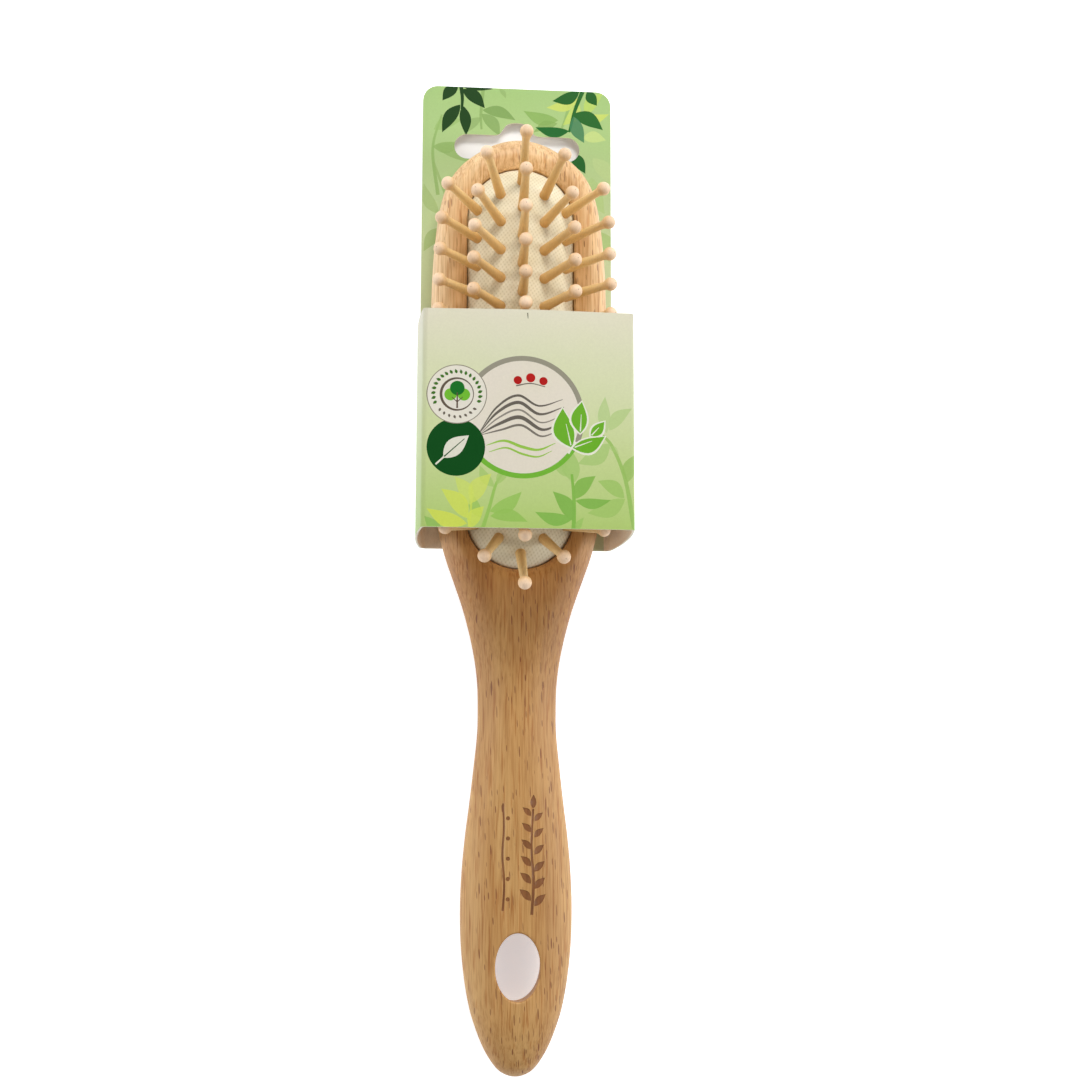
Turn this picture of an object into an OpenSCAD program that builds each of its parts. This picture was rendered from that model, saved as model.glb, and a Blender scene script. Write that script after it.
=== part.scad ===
// Wooden cushion brush in a wrap-round card sleeve.
// X is the width, Y the length (head at +Y, handle at -Y), Z up through the pins.
// The card and the lowest point of the handle's back both lie on Z = 0. Millimetres.

/* [Wooden body] */
// Y of the rounded top end of the head
head_end = 103.4; // [103.2:0.1:104.5]
// Y of the free end of the handle
handle_end = -120.5; // [-122:0.5:-119.5]
// Height of the rim's crest round the cushion
rim_crest = 15; // [14.6:0.1:15.2]
// Height of the handle's top face at its fattest part
handle_top = 13; // [12:0.5:13.5]
// Height of the head's back above the surface it lies on
head_back = 1.1; // [1.05:0.05:1.4]
// Radius rounded over the outer edge of the rim
rim_round = 5; // [4:0.5:6]
// How far the rim dips towards the cushion
rim_dip = 1.5; // [0.5:0.1:1.8]

/* [Hang hole in the handle] */
// Y of the middle of the oval hole
hole_y = -95.4; // [-98:0.2:-92]
// Full width of the oval hole
hole_w = 10.4; // [8:0.2:12]
// Full length of the oval hole
hole_l = 15.4; // [12:0.2:18]
// How far each side of the hole spreads outwards by the time it reaches the back
hole_flare = 0.9; // [0:0.1:1.5]

/* [Cushion] */
// Half width of the opening that the cushion fills
pocket_r = 13; // [13:0.05:13.2]
// Y of the centre of the pocket's handle-side round end
pocket_y0 = 9.5; // [9:0.1:10]
// Y of the centre of the pocket's head-side round end
pocket_y1 = 82; // [81:0.1:82.4]
// Height of the pocket's floor
pocket_floor = 7; // [6:0.5:7.5]
// Height of the top of the rubber dome
dome_top = 18.7; // [18.4:0.1:18.8]
// Radius of the rubber dome across its width
dome_r = 16.5; // [16.3:0.1:17]
// Thickness of the rubber
rubber_t = 1.5; // [1.2:0.1:1.6]

/* [Pins] */
// Distance between pins along a row
pin_pitch = 6.96; // [6.9:0.02:7]
// Y of the first pin of the middle row
pin_first = 90.35; // [90:0.05:90.6]
// X of the inner rows
inner_x = 5.3; // [5:0.1:5.6]
// X of the outer rows
outer_x = 10.65; // [10.4:0.05:10.8]
// From the rubber's surface to the middle of the ball
pin_len = 15.5; // [14.5:0.1:15.5]
// Radius of the shaft where it leaves the rubber
pin_base_r = 1.25; // [1.1:0.05:1.3]
// Radius of the shaft under the ball
pin_neck_r = 0.88; // [0.75:0.01:1]
// Radius of the ball on the tip
ball_r = 1.6; // [1.4:0.05:1.6]

/* [Card and sleeve] */
// Thickness of the card
card_t = 0.45; // [0.4:0.05:0.5]
// Half width of the hanging card
card_half = 23.75; // [23.5:0.05:24]
// Y of the top edge of the hanging card
card_top = 120.5; // [118:0.5:122]
// Y of the lower edge of the sleeve
sleeve_y0 = 2.8; // [2:0.1:4]
// Y of the upper edge of the sleeve
sleeve_y1 = 52.8; // [50:0.1:54]
// Height of the front of the sleeve
sleeve_h = 36.6; // [36.5:0.1:38]
// Widest half width of the sleeve, where its sides belly out
sleeve_half = 24.85; // [24.7:0.05:25.4]
// Full width of the hang slot
slot_w = 31.6; // [31:0.2:32]
// Y of the middle of the hang slot's long part
slot_y = 104.9; // [104.5:0.1:106]
// Height of the hang slot's long part
slot_h = 6.4; // [5.6:0.2:6.6]

/* [Hidden] */
$fn = 48;

// Half widths of the body at chosen places: [Y, half width].
outline = [
    [handle_end, 0], [-119, 4], [-117, 5.7], [-114, 7.5], [-110, 9.2], [-105, 10.8],
    [-98, 12.1], [-90, 12.9], [-82, 13.1], [-74, 12.8], [-66, 12.1], [-58, 11.1],
    [-50, 10.2], [-42, 9.4], [-36, 9.3], [-30, 9.5], [-24, 10.3], [-18, 11.6],
    [-12, 13.3], [-6, 15.4], [0, 17.5], [6, 19.1], [12, 20.2], [20, 20.9],
    [32, 21.3], [46, 21.5], [58, 21.4], [68, 21.2], [75, 20.8], [80, 20.3],
    [84, 19.8], [88, 19], [91.5, 17.9], [94.2, 16.4], [96.5, 14.6], [98.4, 12.5],
    [100.4, 9.6], [101.9, 6.8], [head_end, 0]];
last = len(outline) - 1;

// The square of the half width is interpolated, so both ends come out round.
function sq(i) = outline[i][1] * outline[i][1];
function slope(i) = i <= 0 ? (sq(1) - sq(0)) / (outline[1][0] - outline[0][0])
    : i >= last ? (sq(last) - sq(last - 1)) / (outline[last][0] - outline[last - 1][0])
    : (sq(i + 1) - sq(i - 1)) / (outline[i + 1][0] - outline[i - 1][0]);
function span(y, i = 0) = i >= last - 1 || y < outline[i + 1][0] ? i : span(y, i + 1);
function cubic(y, i) = let(h = outline[i + 1][0] - outline[i][0], t = (y - outline[i][0]) / h)
    (2 * t * t * t - 3 * t * t + 1) * sq(i) + (t * t * t - 2 * t * t + t) * h * slope(i)
    + (3 * t * t - 2 * t * t * t) * sq(i + 1) + (t * t * t - t * t) * h * slope(i + 1);
function half_sq(y) = max(0, cubic(y, span(y)));
function half_sq_slope(y) = (half_sq(min(y + 0.01, head_end)) - half_sq(max(y - 0.01, handle_end)))
    / (min(y + 0.01, head_end) - max(y - 0.01, handle_end));

function ease(t) = let(u = max(0, min(1, t))) u * u * (3 - 2 * u);
function mix(a, b, t) = a + (b - a) * t;
function headness(y) = ease((y + 40) / 45);

// How far a point lies inside the body's outline.
function inside(x, y) = let(g = half_sq_slope(y) / 2)
    sqrt(half_sq(y) + g * g) - sqrt(x * x + g * g);
// How far a point lies outside the cushion's opening.
function past_pocket(x, y) = let(yy = max(pocket_y0, min(pocket_y1, y)))
    max(0, norm([x, y - yy]) - pocket_r);
function round_over(d, r) = let(u = 1 - max(0, min(1, d / r))) sqrt(max(0, 1 - u * u));

function middle_z(y) = mix(6.2, 7.6, headness(y));
function crown(y) = mix(handle_top, rim_crest, headness(y)) - 1.6 * ease((-108 - y) / 14);
function back_z(y) = mix(0, head_back, ease((y + 80) / 70)) + 1.6 * ease((-108 - y) / 14);
function top_z(x, y) = let(dip = max(0, 1 - past_pocket(x, y) / 4))
    middle_z(y) + (crown(y) - rim_dip * dip * dip - middle_z(y))
    * round_over(inside(x, y), mix(11, rim_round, headness(y)));
function under_z(x, y) = middle_z(y) - (middle_z(y) - back_z(y))
    * round_over(inside(x, y), mix(9, 7, headness(y)));

rings = 58;
half_n = 16;
ring_n = 2 * half_n;
function ring_y(j) = handle_end + (head_end - handle_end) * (1 - cos(180 * j / rings)) / 2;
function ring_point(j, k) = let(y = ring_y(j), w = sqrt(half_sq(y)),
        x = w * cos(180 * k / half_n))
    k <= half_n ? [x, y, top_z(x, y)] : [x, y, under_z(x, y)];
body_points = concat(
    [[0, handle_end, middle_z(handle_end)]],
    [for (j = [1:rings - 1]) for (k = [0:ring_n - 1]) ring_point(j, k)],
    [[0, head_end, middle_z(head_end)]]);
function at(j, k) = 1 + (j - 1) * ring_n + (k % ring_n);
body_faces = concat(
    [for (k = [0:ring_n - 1]) [0, at(1, k + 1), at(1, k)]],
    [for (j = [1:rings - 2]) for (k = [0:ring_n - 1]) [at(j, k), at(j, k + 1), at(j + 1, k)]],
    [for (j = [1:rings - 2]) for (k = [0:ring_n - 1]) [at(j, k + 1), at(j + 1, k + 1), at(j + 1, k)]],
    [for (k = [0:ring_n - 1]) [len(body_points) - 1, at(rings - 1, k), at(rings - 1, k + 1)]]);

module stadium(r) {
    translate([-r, pocket_y0]) square([2 * r, pocket_y1 - pocket_y0]);
    translate([0, pocket_y0]) circle(r);
    translate([0, pocket_y1]) circle(r);
}

module brush_body() {
    color("burlywood") difference() {
        polyhedron(body_points, body_faces, convexity = 6);
        translate([0, 0, pocket_floor]) linear_extrude(20) stadium(pocket_r);
        translate([0, 0, bead_z - 0.1]) linear_extrude(bead_h + 0.2) stadium(pocket_r + bead_w + 0.1);
        translate([0, hole_y, handle_top + 1]) mirror([0, 0, 1])
            linear_extrude(handle_top + 2, scale = [1 + 2 * hole_flare / hole_w, 1 + 2 * hole_flare / hole_l])
            polygon([for (a = [0:10:350]) [hole_w / 2 * cos(a), hole_l / 2 * sin(a)]]);
    }
}

// Rubber dome, with a skirt and a bead that sits in a groove in the pocket's wall.
skirt_r = pocket_r - 0.25;
bead_z = 9.4;
bead_h = 1.1;
bead_w = 0.9;
dome_z = dome_top - dome_r;

module cushion_section() {
    difference() {
        union() {
            intersection() {
                translate([0, dome_z]) circle(dome_r, $fn = 96);
                translate([-skirt_r, bead_z]) square([2 * skirt_r, 20]);
            }
            translate([-pocket_r - bead_w, bead_z]) square([2 * (pocket_r + bead_w), bead_h]);
        }
        intersection() {
            translate([0, dome_z]) circle(dome_r - rubber_t, $fn = 96);
            translate([rubber_t - skirt_r, 0]) square([2 * (skirt_r - rubber_t), 30]);
        }
    }
}

module half_section() {
    intersection() {
        cushion_section();
        square([40, 40]);
    }
}

// One pin is named by its row (-2 to 2 across) and its place along the row.
function pin_x(c) = sign(c) * (abs(c) == 2 ? outer_x : abs(c) == 1 ? inner_x : 0);
function pin_y(c, i) = pin_first - pin_pitch * (i + (abs(c) == 1 ? 0.5 : 0));
function surface_z(x, y) = let(r = norm([x, y - max(pocket_y0, min(pocket_y1, y))]))
    dome_z + sqrt(dome_r * dome_r - r * r);
row_lean = [-38, -27.5, -2.4, 22, 37];
row_fan = [15.5, 28.5, 31, 28.5, 15.5];
function from_head(c, i) = (pin_first - pin_y(c, i)) / pin_pitch;
function pin_fan(c, i) = let(u = from_head(c, i))
    row_fan[c + 2] * (exp(-u / 1.68) - exp(-(13 - u) / 1.68)) - 1.8;
function pin_lean(c, i) = let(u = from_head(c, i))
    row_lean[c + 2] * (1 - 0.73 * (exp(-u / 0.8) + exp(-(13 - u) / 0.8)));

module at_pin(c, i) {
    translate([pin_x(c), pin_y(c, i), surface_z(pin_x(c), pin_y(c, i))])
        rotate([0, pin_lean(c, i), 0]) rotate([-pin_fan(c, i), 0, 0]) children();
}

function first_pin(c) = abs(c) == 2 ? 1 : 0;
function last_pin(c) = abs(c) == 0 ? 13 : 12;

module rubber_cushion() {
    color("beige") difference() {
        union() {
            translate([0, pocket_y1, 0]) rotate([90, 0, 0]) linear_extrude(pocket_y1 - pocket_y0)
                cushion_section();
            translate([0, pocket_y1, 0]) rotate_extrude(angle = 180) half_section();
            translate([0, pocket_y0, 0]) rotate([0, 0, 180]) rotate_extrude(angle = 180) half_section();
        }
        for (c = [-2:2]) for (i = [first_pin(c):last_pin(c)])
            at_pin(c, i) translate([0, 0, -2.6]) cylinder(r = pin_base_r + 0.06, h = 4.6);
    }
}

foot_top = 2.3;
foot_t = 0.9;
foot_r = 1.55;

module pin() {
    color("wheat") {
        translate([0, 0, -foot_top - foot_t]) cylinder(r = foot_r, h = foot_t);
        translate([0, 0, -foot_top - 0.1]) cylinder(r = pin_base_r, h = foot_top + 0.4);
        translate([0, 0, 0.3]) cylinder(r1 = pin_base_r, r2 = pin_neck_r, h = pin_len - 0.8);
        translate([0, 0, pin_len]) sphere(ball_r);
    }
}

module pin_row(c, from, to) {
    for (i = [from:to]) at_pin(c, i) pin();
}

module pins_left_outer_head() { pin_row(-2, 1, 4); }
module pins_left_outer_middle() { pin_row(-2, 5, 8); }
module pins_left_outer_neck() { pin_row(-2, 9, 12); }
module pins_left_inner_head() { pin_row(-1, 0, 3); }
module pins_left_inner_middle() { pin_row(-1, 4, 8); }
module pins_left_inner_neck() { pin_row(-1, 9, 12); }
module pins_centre_head() { pin_row(0, 0, 4); }
module pins_centre_middle() { pin_row(0, 5, 8); }
module pins_centre_neck() { pin_row(0, 9, 13); }
module pins_right_inner_head() { pin_row(1, 0, 3); }
module pins_right_inner_middle() { pin_row(1, 4, 8); }
module pins_right_inner_neck() { pin_row(1, 9, 12); }
module pins_right_outer_head() { pin_row(2, 1, 4); }
module pins_right_outer_middle() { pin_row(2, 5, 8); }
module pins_right_outer_neck() { pin_row(2, 9, 12); }

// The hanging card, which is also the back of the sleeve.
corner_r = 3.8;
module card_outline() {
    translate([-card_half, sleeve_y1]) square([2 * card_half, card_top - corner_r - sleeve_y1]);
    translate([corner_r - card_half, card_top - corner_r - 1])
        square([2 * (card_half - corner_r), corner_r + 1]);
    for (s = [-1, 1]) translate([s * (card_half - corner_r), card_top - corner_r]) circle(corner_r);
    translate([-fold_x - 0.5, sleeve_y0]) square([2 * fold_x + 0.5, sleeve_y1 - sleeve_y0 + 1]);
}

// Hang slot: a long slot with round ends and a raised bump for a round peg.
module slot() {
    translate([-(slot_w - slot_h) / 2, slot_y - slot_h / 2]) square([slot_w - slot_h, slot_h]);
    for (s = [-1, 1]) translate([s * (slot_w - slot_h) / 2, slot_y]) circle(slot_h / 2);
    translate([0, slot_y + slot_h / 2])
        polygon([[-5.4, -1], [-5.4, 0], [-4.4, 0.4], [-3.6, 1.5], [-2.8, 2.6], [-1.6, 3.2], [0, 3.35],
                 [1.6, 3.2], [2.8, 2.6], [3.6, 1.5], [4.4, 0.4], [5.4, 0], [5.4, -1]]);
}

module hang_card() {
    color("palegreen") linear_extrude(card_t) difference() {
        card_outline();
        slot();
    }
}

// Side of the sleeve: one strip of card that turns up from the back, bellies out and
// turns over on to the front. The strip's middle line is three arcs that follow on.
turn_up = 82;
turn_over = 96;
back_bend = 1.6;
front_bend = 1;
function belly_r(z0) = (sleeve_h - card_t / 2 - z0 - back_bend * (1 - cos(turn_up))
    - front_bend * (1 + cos(turn_over))) / (cos(turn_up) - cos(turn_over));
function heading(a) = [sin(a), -cos(a)];
fold_x = sleeve_half - card_t / 2 - belly_r(card_t / 2) * (1 - sin(turn_up)) - back_bend * sin(turn_up);
function strip(z0, off) = let(
        r = belly_r(z0),
        x0 = sleeve_half - card_t / 2 - r * (1 - sin(turn_up)) - back_bend * sin(turn_up),
        c1 = [x0, z0 + back_bend],
        c2 = c1 - (r - back_bend) * heading(turn_up),
        c3 = c2 + (r - front_bend) * heading(turn_over))
    concat(
        [[fold_x, z0 - off]],
        [for (k = [0:8]) c1 + (back_bend + off) * heading(turn_up * k / 8)],
        [for (k = [1:12]) c2 + (r + off) * heading(turn_up + (turn_over - turn_up) * k / 12)],
        [for (k = [1:8]) c3 + (front_bend + off) * heading(turn_over + (180 - turn_over) * k / 8)],
        [[front_x, sleeve_h - card_t / 2 + off]]);
front_x = fold_x + 0.9;
function backwards(a) = [for (k = [len(a) - 1:-1:0]) a[k]];

module wall(z0) {
    translate([0, sleeve_y1, 0]) rotate([90, 0, 0]) linear_extrude(sleeve_y1 - sleeve_y0)
        polygon(concat(strip(z0, card_t / 2), backwards(strip(z0, -card_t / 2))));
}

module sleeve_right_wall() { color("yellowgreen") wall(card_t / 2); }
module sleeve_left_wall() { color("yellowgreen") mirror([1, 0, 0]) wall(card_t * 1.5); }

module sleeve_front_panel() {
    color("lightgreen") translate([-front_x, sleeve_y0, sleeve_h - card_t])
        cube([2 * front_x, sleeve_y1 - sleeve_y0, card_t]);
}

// The strip's end, folded in and glued on to the back inside the sleeve.
module sleeve_glue_flap() {
    color("tan") translate([-fold_x, sleeve_y0, card_t]) cube([9, sleeve_y1 - sleeve_y0, card_t]);
}

brush_body();
rubber_cushion();
pins_left_outer_head();
pins_left_outer_middle();
pins_left_outer_neck();
pins_left_inner_head();
pins_left_inner_middle();
pins_left_inner_neck();
pins_centre_head();
pins_centre_middle();
pins_centre_neck();
pins_right_inner_head();
pins_right_inner_middle();
pins_right_inner_neck();
pins_right_outer_head();
pins_right_outer_middle();
pins_right_outer_neck();
hang_card();
sleeve_front_panel();
sleeve_left_wall();
sleeve_right_wall();
sleeve_glue_flap();
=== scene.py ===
import math

import bpy
import bmesh
import numpy as np
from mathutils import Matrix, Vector
from mathutils.geometry import delaunay_2d_cdt


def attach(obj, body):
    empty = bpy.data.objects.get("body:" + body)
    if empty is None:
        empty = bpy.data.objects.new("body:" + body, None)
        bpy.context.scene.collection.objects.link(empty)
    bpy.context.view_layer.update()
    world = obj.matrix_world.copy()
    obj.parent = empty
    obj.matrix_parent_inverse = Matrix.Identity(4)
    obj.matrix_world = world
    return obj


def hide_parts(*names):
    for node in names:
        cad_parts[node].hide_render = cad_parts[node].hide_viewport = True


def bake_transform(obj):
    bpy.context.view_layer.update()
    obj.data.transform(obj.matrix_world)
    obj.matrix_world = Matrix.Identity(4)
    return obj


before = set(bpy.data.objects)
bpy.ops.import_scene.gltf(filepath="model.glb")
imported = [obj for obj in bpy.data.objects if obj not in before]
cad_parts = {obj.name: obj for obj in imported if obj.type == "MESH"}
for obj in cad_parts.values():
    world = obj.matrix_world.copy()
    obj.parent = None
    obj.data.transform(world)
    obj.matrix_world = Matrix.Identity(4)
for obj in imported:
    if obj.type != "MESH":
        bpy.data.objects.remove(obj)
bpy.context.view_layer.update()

MM = 0.001
rng = np.random.default_rng(7)


# ---------------------------------------------------------------- helpers
def lin(c):
    """sRGB 0-255 to scene linear."""
    out = []
    for v in c:
        v = v / 255.0
        out.append(v / 12.92 if v <= 0.04045 else ((v + 0.055) / 1.055) ** 2.4)
    return tuple(out)


def rgba(c):
    return lin(c) + (1.0,)


def mesh_object(name, verts, faces):
    me = bpy.data.meshes.new(name)
    v = np.asarray(verts, float) * MM
    me.from_pydata([tuple(p) for p in v], [], [tuple(int(i) for i in f) for f in faces])
    me.update()
    ob = bpy.data.objects.new(name, me)
    bpy.context.scene.collection.objects.link(ob)
    return ob


def tidy(ob, weld=0.004, sharp=50):
    """Weld, drop strays, face outwards, smooth with sharp edges kept."""
    me = ob.data
    bm = bmesh.new()
    bm.from_mesh(me)
    bmesh.ops.remove_doubles(bm, verts=bm.verts, dist=weld * MM)
    bmesh.ops.dissolve_degenerate(bm, dist=1e-7, edges=bm.edges)
    bmesh.ops.recalc_face_normals(bm, faces=bm.faces)
    bm.to_mesh(me)
    bm.free()
    me.shade_smooth()
    if sharp:
        me.set_sharp_from_angle(angle=math.radians(sharp))
    me.update()


def smoothstep(t):
    u = np.clip(t, 0, 1)
    return u * u * (3 - 2 * u)


def mix(a, b, t):
    return a + (b - a) * t


# ---------------------------------------------------------------- wooden body
HANDLE_END, HEAD_END = -120.5, 103.4
HOLE_Y, HOLE_W, HOLE_L, HOLE_FLARE = -95.4, 10.4, 15.4, 0.9
POCKET_R, POCKET_Y0, POCKET_Y1, POCKET_FLOOR = 13.0, 9.5, 82.0, 7.0
OUTLINE = [
    (-120.5, 0), (-119, 4), (-117, 5.7), (-114, 7.5), (-110, 9.2), (-105, 10.8), (-98, 12.1),
    (-90, 12.9), (-82, 13.1), (-74, 12.8), (-66, 12.1), (-58, 11.1), (-50, 10.2), (-42, 9.4),
    (-36, 9.3), (-30, 9.5), (-24, 10.3), (-18, 11.6), (-12, 13.3), (-6, 15.4), (0, 17.5),
    (6, 19.1), (12, 20.2), (20, 20.9), (32, 21.3), (46, 21.5), (58, 21.4), (68, 21.2),
    (75, 20.8), (80, 20.3), (84, 19.8), (88, 19), (91.5, 17.9), (94.2, 16.4), (96.5, 14.6),
    (98.4, 12.5), (100.4, 9.6), (101.9, 6.8), (103.4, 0)]
OY = np.array([p[0] for p in OUTLINE], float)
OS = np.array([p[1] ** 2 for p in OUTLINE], float)
SL = np.empty(len(OY))
SL[1:-1] = (OS[2:] - OS[:-2]) / (OY[2:] - OY[:-2])
SL[0] = (OS[1] - OS[0]) / (OY[1] - OY[0])
SL[-1] = (OS[-1] - OS[-2]) / (OY[-1] - OY[-2])


def half_sq(y):
    y = np.asarray(y, float)
    i = np.clip(np.searchsorted(OY, y, side="right") - 1, 0, len(OY) - 2)
    h = OY[i + 1] - OY[i]
    t = (y - OY[i]) / h
    v = ((2 * t**3 - 3 * t**2 + 1) * OS[i] + (t**3 - 2 * t**2 + t) * h * SL[i]
         + (3 * t**2 - 2 * t**3) * OS[i + 1] + (t**3 - t**2) * h * SL[i + 1])
    return np.maximum(0, v)


def half_sq_slope(y):
    a, b = np.maximum(y - 0.01, HANDLE_END), np.minimum(y + 0.01, HEAD_END)
    return (half_sq(b) - half_sq(a)) / (b - a)


def headness(y):
    return smoothstep((y + 40) / 45)


def inside(x, y):
    g = half_sq_slope(y) / 2
    return np.sqrt(half_sq(y) + g * g) - np.sqrt(x * x + g * g)


def past_pocket(x, y):
    return np.hypot(x, y - np.clip(y, POCKET_Y0, POCKET_Y1)) - POCKET_R


def round_over(d, r):
    u = 1 - np.clip(d / r, 0, 1)
    return np.sqrt(np.maximum(0, 1 - u * u))


def middle_z(y):
    return mix(6.2, 7.6, headness(y))


def crown(y):
    return mix(13, 15, headness(y)) - 1.6 * smoothstep((-108 - y) / 14)


def back_z(y):
    return mix(0, 1.1, smoothstep((y + 80) / 70)) + 1.6 * smoothstep((-108 - y) / 14)


def top_z(x, y):
    dip = np.maximum(0, 1 - np.maximum(0, past_pocket(x, y)) / 4)
    m = middle_z(y)
    return m + (crown(y) - 1.5 * dip * dip - m) * round_over(inside(x, y), mix(11, 5, headness(y)))


def under_z(x, y):
    m = middle_z(y)
    return m - (m - back_z(y)) * round_over(inside(x, y), mix(9, 7, headness(y)))


def lip(p, r):
    """Drop of a rounded edge of radius r at the distance p from the opening."""
    q = np.clip(p, 0, r)
    return r - np.sqrt(np.maximum(0, r * r - (r - q) ** 2))


def hole_gap(x, y, wide=0.0):
    """Rough distance outside the oval hang hole."""
    a, b = HOLE_W / 2 + wide, HOLE_L / 2 + wide
    k = np.hypot(x / a, (y - HOLE_Y) / b)
    g = np.hypot(x / a**2, (y - HOLE_Y) / b**2) / np.maximum(k, 1e-6)
    return (k - 1) / np.maximum(g, 1e-6)


# shapes for printed and burnt artwork, all drawn here as polygons
def leaf(a, b, w=0.34, bend=0.0, n=12, grow=0.0, fat=0.85):
    a, b = np.array(a, float), np.array(b, float)
    d = b - a
    length = np.hypot(*d)
    u = d / length
    v = np.array([-u[1], u[0]])
    a, d, length = a - u * grow, d + 2 * u * grow, length + 2 * grow
    t = np.linspace(0, 1, n)
    half = (w * length / 2 + grow * 0.6) * np.sin(np.pi * t**fat) ** 1.05
    mid = a + d * t[:, None] + v * (bend * length * np.sin(np.pi * t))[:, None]
    left, right = mid + v * half[:, None], mid - v * half[:, None]
    return np.vstack([left, right[-2:0:-1]])


def curve(points, per=8):
    """Smooth line through the points."""
    p = [np.array(q, float) for q in points]
    p = [2 * p[0] - p[1]] + p + [2 * p[-1] - p[-2]]
    out = []
    for i in range(1, len(p) - 2):
        for k in range(per):
            t = k / per
            out.append(0.5 * ((2 * p[i]) + (-p[i - 1] + p[i + 1]) * t
                              + (2 * p[i - 1] - 5 * p[i] + 4 * p[i + 1] - p[i + 2]) * t * t
                              + (-p[i - 1] + 3 * p[i] - 3 * p[i + 1] + p[i + 2]) * t**3))
    out.append(p[-2])
    return np.array(out)


def stroke(points, w0, w1=None, per=8, swell=0.0, grow=0.0):
    c = curve(points, per) if len(points) > 2 else np.linspace(points[0], points[1], 5)
    w1 = w0 if w1 is None else w1
    t = np.linspace(0, 1, len(c))
    g = np.gradient(c, axis=0)
    g /= np.hypot(g[:, 0], g[:, 1])[:, None]
    v = np.stack([-g[:, 1], g[:, 0]], 1)
    half = (mix(w0, w1, t) + swell * np.sin(np.pi * t)) / 2 + grow
    return np.vstack([c + v * half[:, None], (c - v * half[:, None])[::-1]])


def disc(c, r, n=40, ry=None):
    a = np.linspace(0, 2 * np.pi, n, endpoint=False)
    return np.stack([c[0] + r * np.cos(a), c[1] + (ry or r) * np.sin(a)], 1)


def arc(c, r0, r1, a0, a1, n=30):
    a = np.radians(np.linspace(a0, a1, n))
    o = np.stack([c[0] + r1 * np.cos(a), c[1] + r1 * np.sin(a)], 1)
    i = np.stack([c[0] + r0 * np.cos(a), c[1] + r0 * np.sin(a)], 1)
    return np.vstack([o, i[::-1]])


def triangulate(loops, polys, points, lines=()):
    """CDT of closed loops (polygons to tell regions apart), free points and lines of points.
    Gives 2-D vertices, triangles, and for each triangle the sorted list of polygons it lies in."""
    co, edges, faces = [], [], []
    for p in list(loops) + list(polys):
        p = np.asarray(p, float)
        x, y = p[:, 0], p[:, 1]
        if (x * np.roll(y, -1) - y * np.roll(x, -1)).sum() < 0:
            p = p[::-1]
        base = len(co)
        co.extend([tuple(q) for q in p])
        faces.append(list(range(base, base + len(p))))
    for ln in lines:
        base = len(co)
        co.extend([tuple(q) for q in ln])
        edges.extend([(base + i, base + i + 1) for i in range(len(ln) - 1)])
    co.extend([tuple(q) for q in points])
    out = delaunay_2d_cdt([Vector(q) for q in co], edges, faces, 0, 1e-5)
    v = np.array([tuple(q) for q in out[0]], float)
    tris = [list(f) for f in out[2]]
    tags = [sorted(t) for t in out[5]]
    return v, tris, tags


def far_from(points, loop, gap):
    points = np.asarray(points, float)
    keep = np.ones(len(points), bool)
    for s in range(0, len(points), 2000):
        d = points[s:s + 2000, None, :] - loop[None, :, :]
        keep[s:s + 2000] = (d**2).sum(2).min(1) > gap * gap
    return points[keep]


def hexgrid(x0, x1, y0, y1, step):
    ys = np.arange(y0, y1, step * 0.866)
    pts = []
    for j, y in enumerate(ys):
        xs = np.arange(x0 + (j % 2) * step / 2, x1, step)
        pts.append(np.stack([xs, np.full(len(xs), y)], 1))
    return np.vstack(pts)


phi = np.linspace(0, np.pi, 6000)
dy = HANDLE_END + (HEAD_END - HANDLE_END) * (1 - np.cos(phi)) / 2
dw = np.sqrt(half_sq(dy))
dense = np.vstack([np.stack([dw, dy], 1), np.stack([-dw, dy], 1)[::-1][1:-1]])
seg = np.hypot(*(np.roll(dense, -1, 0) - dense).T)
run = np.concatenate([[0], np.cumsum(seg)])
N = 640
s = np.arange(N) * run[-1] / N
closed = np.vstack([dense, dense[:1]])
P = np.stack([np.interp(s, run, closed[:, 0]), np.interp(s, run, closed[:, 1])], 1)
tan = np.roll(P, -1, 0) - np.roll(P, 1, 0)
tan /= np.hypot(tan[:, 0], tan[:, 1])[:, None]
NI = np.stack([-tan[:, 1], tan[:, 0]], 1)

BAND = 4.0
K = 13
depth_rows = BAND * (1 - np.cos(np.linspace(0, np.pi / 2, K + 1)))


def strip_rows():
    return [P + NI * d for d in depth_rows]


ROWS = strip_rows()
Q = ROWS[-1]


def stadium(r, step=0.8, y0=POCKET_Y0, y1=POCKET_Y1):
    n_arc = max(12, int(math.pi * r / step))
    n_side = int((y1 - y0) / step)
    a = np.linspace(0, np.pi, n_arc + 1)
    top = np.stack([r * np.cos(a), y1 + r * np.sin(a)], 1)
    left = np.stack([np.full(n_side - 1, -r), np.linspace(y1, y0, n_side + 1)[1:-1]], 1)
    low = np.stack([-r * np.cos(a), y0 - r * np.sin(a)], 1)
    right = np.stack([np.full(n_side - 1, r), np.linspace(y0, y1, n_side + 1)[1:-1]], 1)
    return np.vstack([top, left, low, right])


def oval(grow, n=72):
    a = np.linspace(0, 2 * np.pi, n, endpoint=False)
    c, sn = np.cos(a), np.sin(a)
    ax, by = HOLE_W / 2, HOLE_L / 2
    nx, ny = c / ax, sn / by
    k = np.hypot(nx, ny)
    return np.stack([ax * c + grow * nx / k, HOLE_Y + by * sn + grow * ny / k], 1)


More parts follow.
